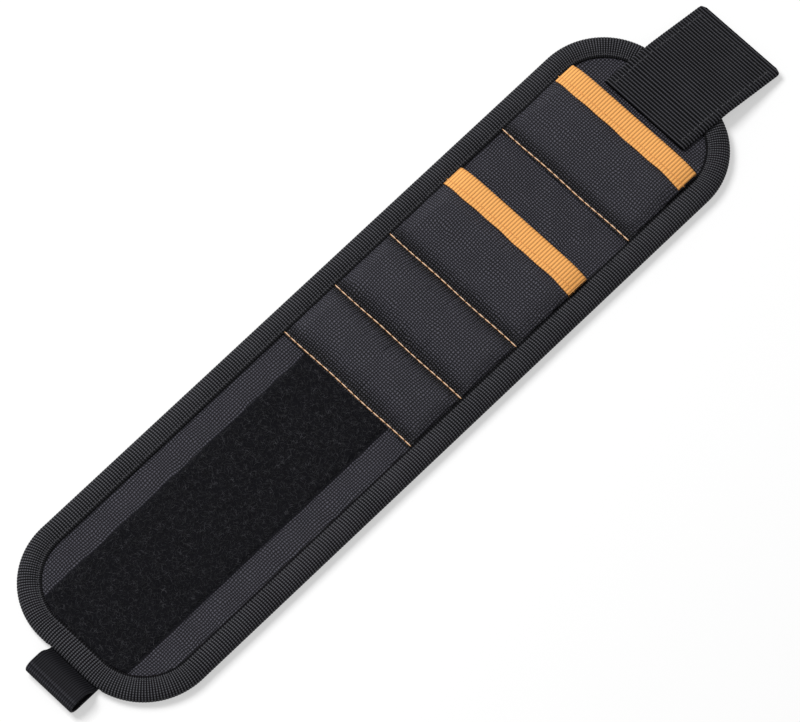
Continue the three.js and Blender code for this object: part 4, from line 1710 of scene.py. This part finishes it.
def camera_axes(azimuth, elevation):
    """Directions to the camera's back, right and up."""
    back = Vector((sin(azimuth) * cos(elevation), -cos(azimuth) * cos(elevation), sin(elevation)))
    right = Vector((cos(azimuth), sin(azimuth), 0))
    return back, right, back.cross(right)


def build_camera(stage):
    """Camera at the photograph's angle."""
    back, right, up = camera_axes(stage.azimuth, stage.elevation)
    aim = stage.aim_right * right + stage.aim_up * up
    data = bpy.data.cameras.new("Camera")
    data.lens = stage.focal_length
    camera = bpy.data.objects.new("Camera", data)
    camera.rotation_euler = back.to_track_quat("Z", "Y").to_euler()
    camera.location = aim + stage.distance * back
    bpy.context.scene.collection.objects.link(camera)
    bpy.context.scene.camera = camera


def seen_directly(tree):
    """1 for rays that show a surface itself: from the camera, in gloss or through glass."""
    rays = add_node(tree, "ShaderNodeLightPath").outputs
    kinds = ("Camera", "Glossy", "Transmission")
    camera, glossy, through = (Wire(rays[f"Is {kind} Ray"]) for kind in kinds)
    return camera.step("MAXIMUM", glossy).step("MAXIMUM", through)


def mix_shaders(tree, share, first, second):
    """One shader that goes over into another."""
    return wire_from(tree, "ShaderNodeMixShader", {0: share, 1: first, 2: second})


def floor_material(stage):
    """Plain white that keeps the band's shadow, and is clear from below and to what touches it."""
    near = 1 * MM
    material = bpy.data.materials.new("White floor")
    material.use_nodes = True
    tree = material.node_tree
    tree.nodes.clear()
    matt = wire_from(tree, "ShaderNodeBsdfDiffuse", {"Color": (0.98, 0.98, 0.98, 1)})
    white = wire_from(tree, "ShaderNodeEmission", {"Color": (1, 1, 1, 1), "Strength": 1})
    clear = wire_from(tree, "ShaderNodeBsdfTransparent")
    from_below = Wire(add_node(tree, "ShaderNodeNewGeometry").outputs["Backfacing"])
    ray_length = Wire(add_node(tree, "ShaderNodeLightPath").outputs["Ray Length"])
    unseen = from_below.step("MAXIMUM", ray_length.step("LESS_THAN", near))
    pale = mix_shaders(tree, seen_directly(tree) * stage.floor_glow, matt, white)
    output = tree.nodes.new("ShaderNodeOutputMaterial")
    join(mix_shaders(tree, unseen, pale, clear), output.inputs["Surface"])
    return material


def floor_tree():
    """Lets a floor down to the lowest point of the pieces, so that the band rests on it in every pose."""
    inputs = {"Pieces": "Collection", "Material": "Material"}
    tree, wires, output = add_tree("Floor under the band", inputs)
    pieces = wire_from(tree, "GeometryNodeCollectionInfo", {"Collection": wires["Pieces"]})
    plain = wire_from(tree, "GeometryNodeRealizeInstances", {"Geometry": pieces})
    box = add_node(tree, "GeometryNodeBoundBox", {"Geometry": plain})
    _, _, lowest = Wire(box.outputs["Min"]).parts()
    drop = wire_from(tree, "ShaderNodeCombineXYZ", {2: lowest.step("MINIMUM", 0)})
    moved = wire_from(tree, "GeometryNodeTransform", {"Geometry": wires["Geometry"], "Translation": drop})
    end_tree(tree, output, moved, wires["Material"])
    return tree


def build_floor(stage):
    """Plain white floor under the pieces that are there. Its tree stays on it, to follow their poses."""
    reach = 4.0
    level = -0.1 * MM
    signs = ((-1, -1), (1, -1), (1, 1), (-1, 1))
    corners = [(reach * x, reach * y, level) for x, y in signs]
    mesh = bpy.data.meshes.new("floor")
    mesh.from_pydata(corners, [], [(0, 1, 2, 3)])
    floor = add_object("floor", mesh, floor_material(stage))
    floor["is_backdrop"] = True
    pieces = bpy.data.collections.new("Pieces")
    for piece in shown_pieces():
        pieces.objects.link(piece)
    add_modifier(floor, floor_tree(), {"Pieces": pieces, "Material": mesh.materials[0]})


def build_light(stage):
    """Soft key from the upper left of the picture, and even white light all round."""
    place = Vector((-0.19, 1.14, 1.71))
    world = bpy.data.worlds.new("Studio")
    world.use_nodes = True
    bpy.context.scene.world = world
    tree = world.node_tree
    background = tree.nodes["Background"]
    background.inputs["Color"].default_value = (1, 1, 1, 1)
    join(seen_directly(tree) * (1 - stage.sky) + stage.sky, background.inputs["Strength"])
    data = bpy.data.lights.new("Key", "AREA")
    data.energy = stage.key_power
    data.size = stage.key_size
    key = bpy.data.objects.new("Key", data)
    key.location = place
    key.rotation_euler = place.to_track_quat("Z", "Y").to_euler()
    bpy.context.scene.collection.objects.link(key)


# Operators


class WRISTBAND_OT_stage(bpy.types.Operator):
    """Add the camera, the floor and the light"""

    bl_idname = "wristband.stage"
    bl_label = "Stage"

    def execute(self, context):
        stage = context.scene.wristband_stage
        build_camera(stage)
        build_floor(stage)
        build_light(stage)
        return {"FINISHED"}


class WRISTBAND_OT_lining(bpy.types.Operator):
    """Add the padded lining"""

    bl_idname = "wristband.lining"
    bl_label = "Lining"

    def execute(self, context):
        build_lining()
        return {"FINISHED"}


class WRISTBAND_OT_face(bpy.types.Operator):
    """Add the woven face"""

    bl_idname = "wristband.face"
    bl_label = "Face"

    def execute(self, context):
        build_face()
        return {"FINISHED"}


class WRISTBAND_OT_binding(bpy.types.Operator):
    """Add the edge binding"""

    bl_idname = "wristband.binding"
    bl_label = "Binding"

    def execute(self, context):
        build_binding()
        return {"FINISHED"}


class WRISTBAND_OT_loop_pad(bpy.types.Operator):
    """Add the loop pad and its fibres"""

    bl_idname = "wristband.loop_pad"
    bl_label = "Loop pad"

    def execute(self, context):
        build_loop_pad()
        return {"FINISHED"}


class WRISTBAND_OT_quilt(bpy.types.Operator):
    """Add the puffed cells and the pockets"""

    bl_idname = "wristband.quilt"
    bl_label = "Cells and pockets"

    def execute(self, context):
        build_quilt()
        build_second_pocket()
        return {"FINISHED"}


class WRISTBAND_OT_ribbons(bpy.types.Operator):
    """Add the ribbons of the pocket mouths"""

    bl_idname = "wristband.ribbons"
    bl_label = "Ribbons"

    def execute(self, context):
        build_ribbons()
        return {"FINISHED"}


class WRISTBAND_OT_strap(bpy.types.Operator):
    """Add the closing strap and its hook pad"""

    bl_idname = "wristband.strap"
    bl_label = "Strap"

    def execute(self, context):
        build_strap()
        return {"FINISHED"}


class WRISTBAND_OT_pull_loop(bpy.types.Operator):
    """Add the pull loop"""

    bl_idname = "wristband.pull_loop"
    bl_label = "Pull loop"

    def execute(self, context):
        build_pull_loop()
        return {"FINISHED"}


class WRISTBAND_OT_sewing(bpy.types.Operator):
    """Add the stitches"""

    bl_idname = "wristband.sewing"
    bl_label = "Sewing"

    def execute(self, context):
        sew_seams()
        sew_ribbons()
        sew_binding()
        sew_strap()
        return {"FINISHED"}


class WRISTBAND_OT_magnets(bpy.types.Operator):
    """Finish the magnets"""

    bl_idname = "wristband.magnets"
    bl_label = "Magnets"

    def execute(self, context):
        finish_magnets()
        return {"FINISHED"}


OPERATORS = (
    WRISTBAND_OT_lining,
    WRISTBAND_OT_face,
    WRISTBAND_OT_binding,
    WRISTBAND_OT_loop_pad,
    WRISTBAND_OT_quilt,
    WRISTBAND_OT_ribbons,
    WRISTBAND_OT_strap,
    WRISTBAND_OT_pull_loop,
    WRISTBAND_OT_sewing,
    WRISTBAND_OT_magnets,
    WRISTBAND_OT_stage,
)


class WRISTBAND_PT_pieces(bpy.types.Panel):
    """The wristband's pieces, in the order in which they are made"""

    bl_label = "Wristband"
    bl_space_type = "VIEW_3D"
    bl_region_type = "UI"
    bl_category = "Wristband"

    def draw(self, context):
        for operator in OPERATORS:
            self.layout.operator(operator.bl_idname)


SETTINGS = {
    "wristband_sizes": WristbandSizes,
    "wristband_colours": WristbandColours,
    "wristband_stage": WristbandStage,
}
CLASSES = (*SETTINGS.values(), *OPERATORS, WRISTBAND_PT_pieces)


def register():
    for cls in CLASSES:
        bpy.utils.register_class(cls)
    for name, group in SETTINGS.items():
        setattr(bpy.types.Scene, name, PointerProperty(type=group))


def unregister():
    for name in SETTINGS:
        delattr(bpy.types.Scene, name)
    for cls in reversed(CLASSES):
        bpy.utils.unregister_class(cls)


def main():
    register()
    bpy.context.scene.view_settings.view_transform = "Standard"
    bpy.ops.wristband.lining()
    bpy.ops.wristband.face()
    bpy.ops.wristband.binding()
    bpy.ops.wristband.loop_pad()
    bpy.ops.wristband.quilt()
    bpy.ops.wristband.ribbons()
    bpy.ops.wristband.strap()
    bpy.ops.wristband.pull_loop()
    bpy.ops.wristband.sewing()
    bpy.ops.wristband.magnets()
    bpy.ops.wristband.stage()


if __name__ == "__main__":
    main()
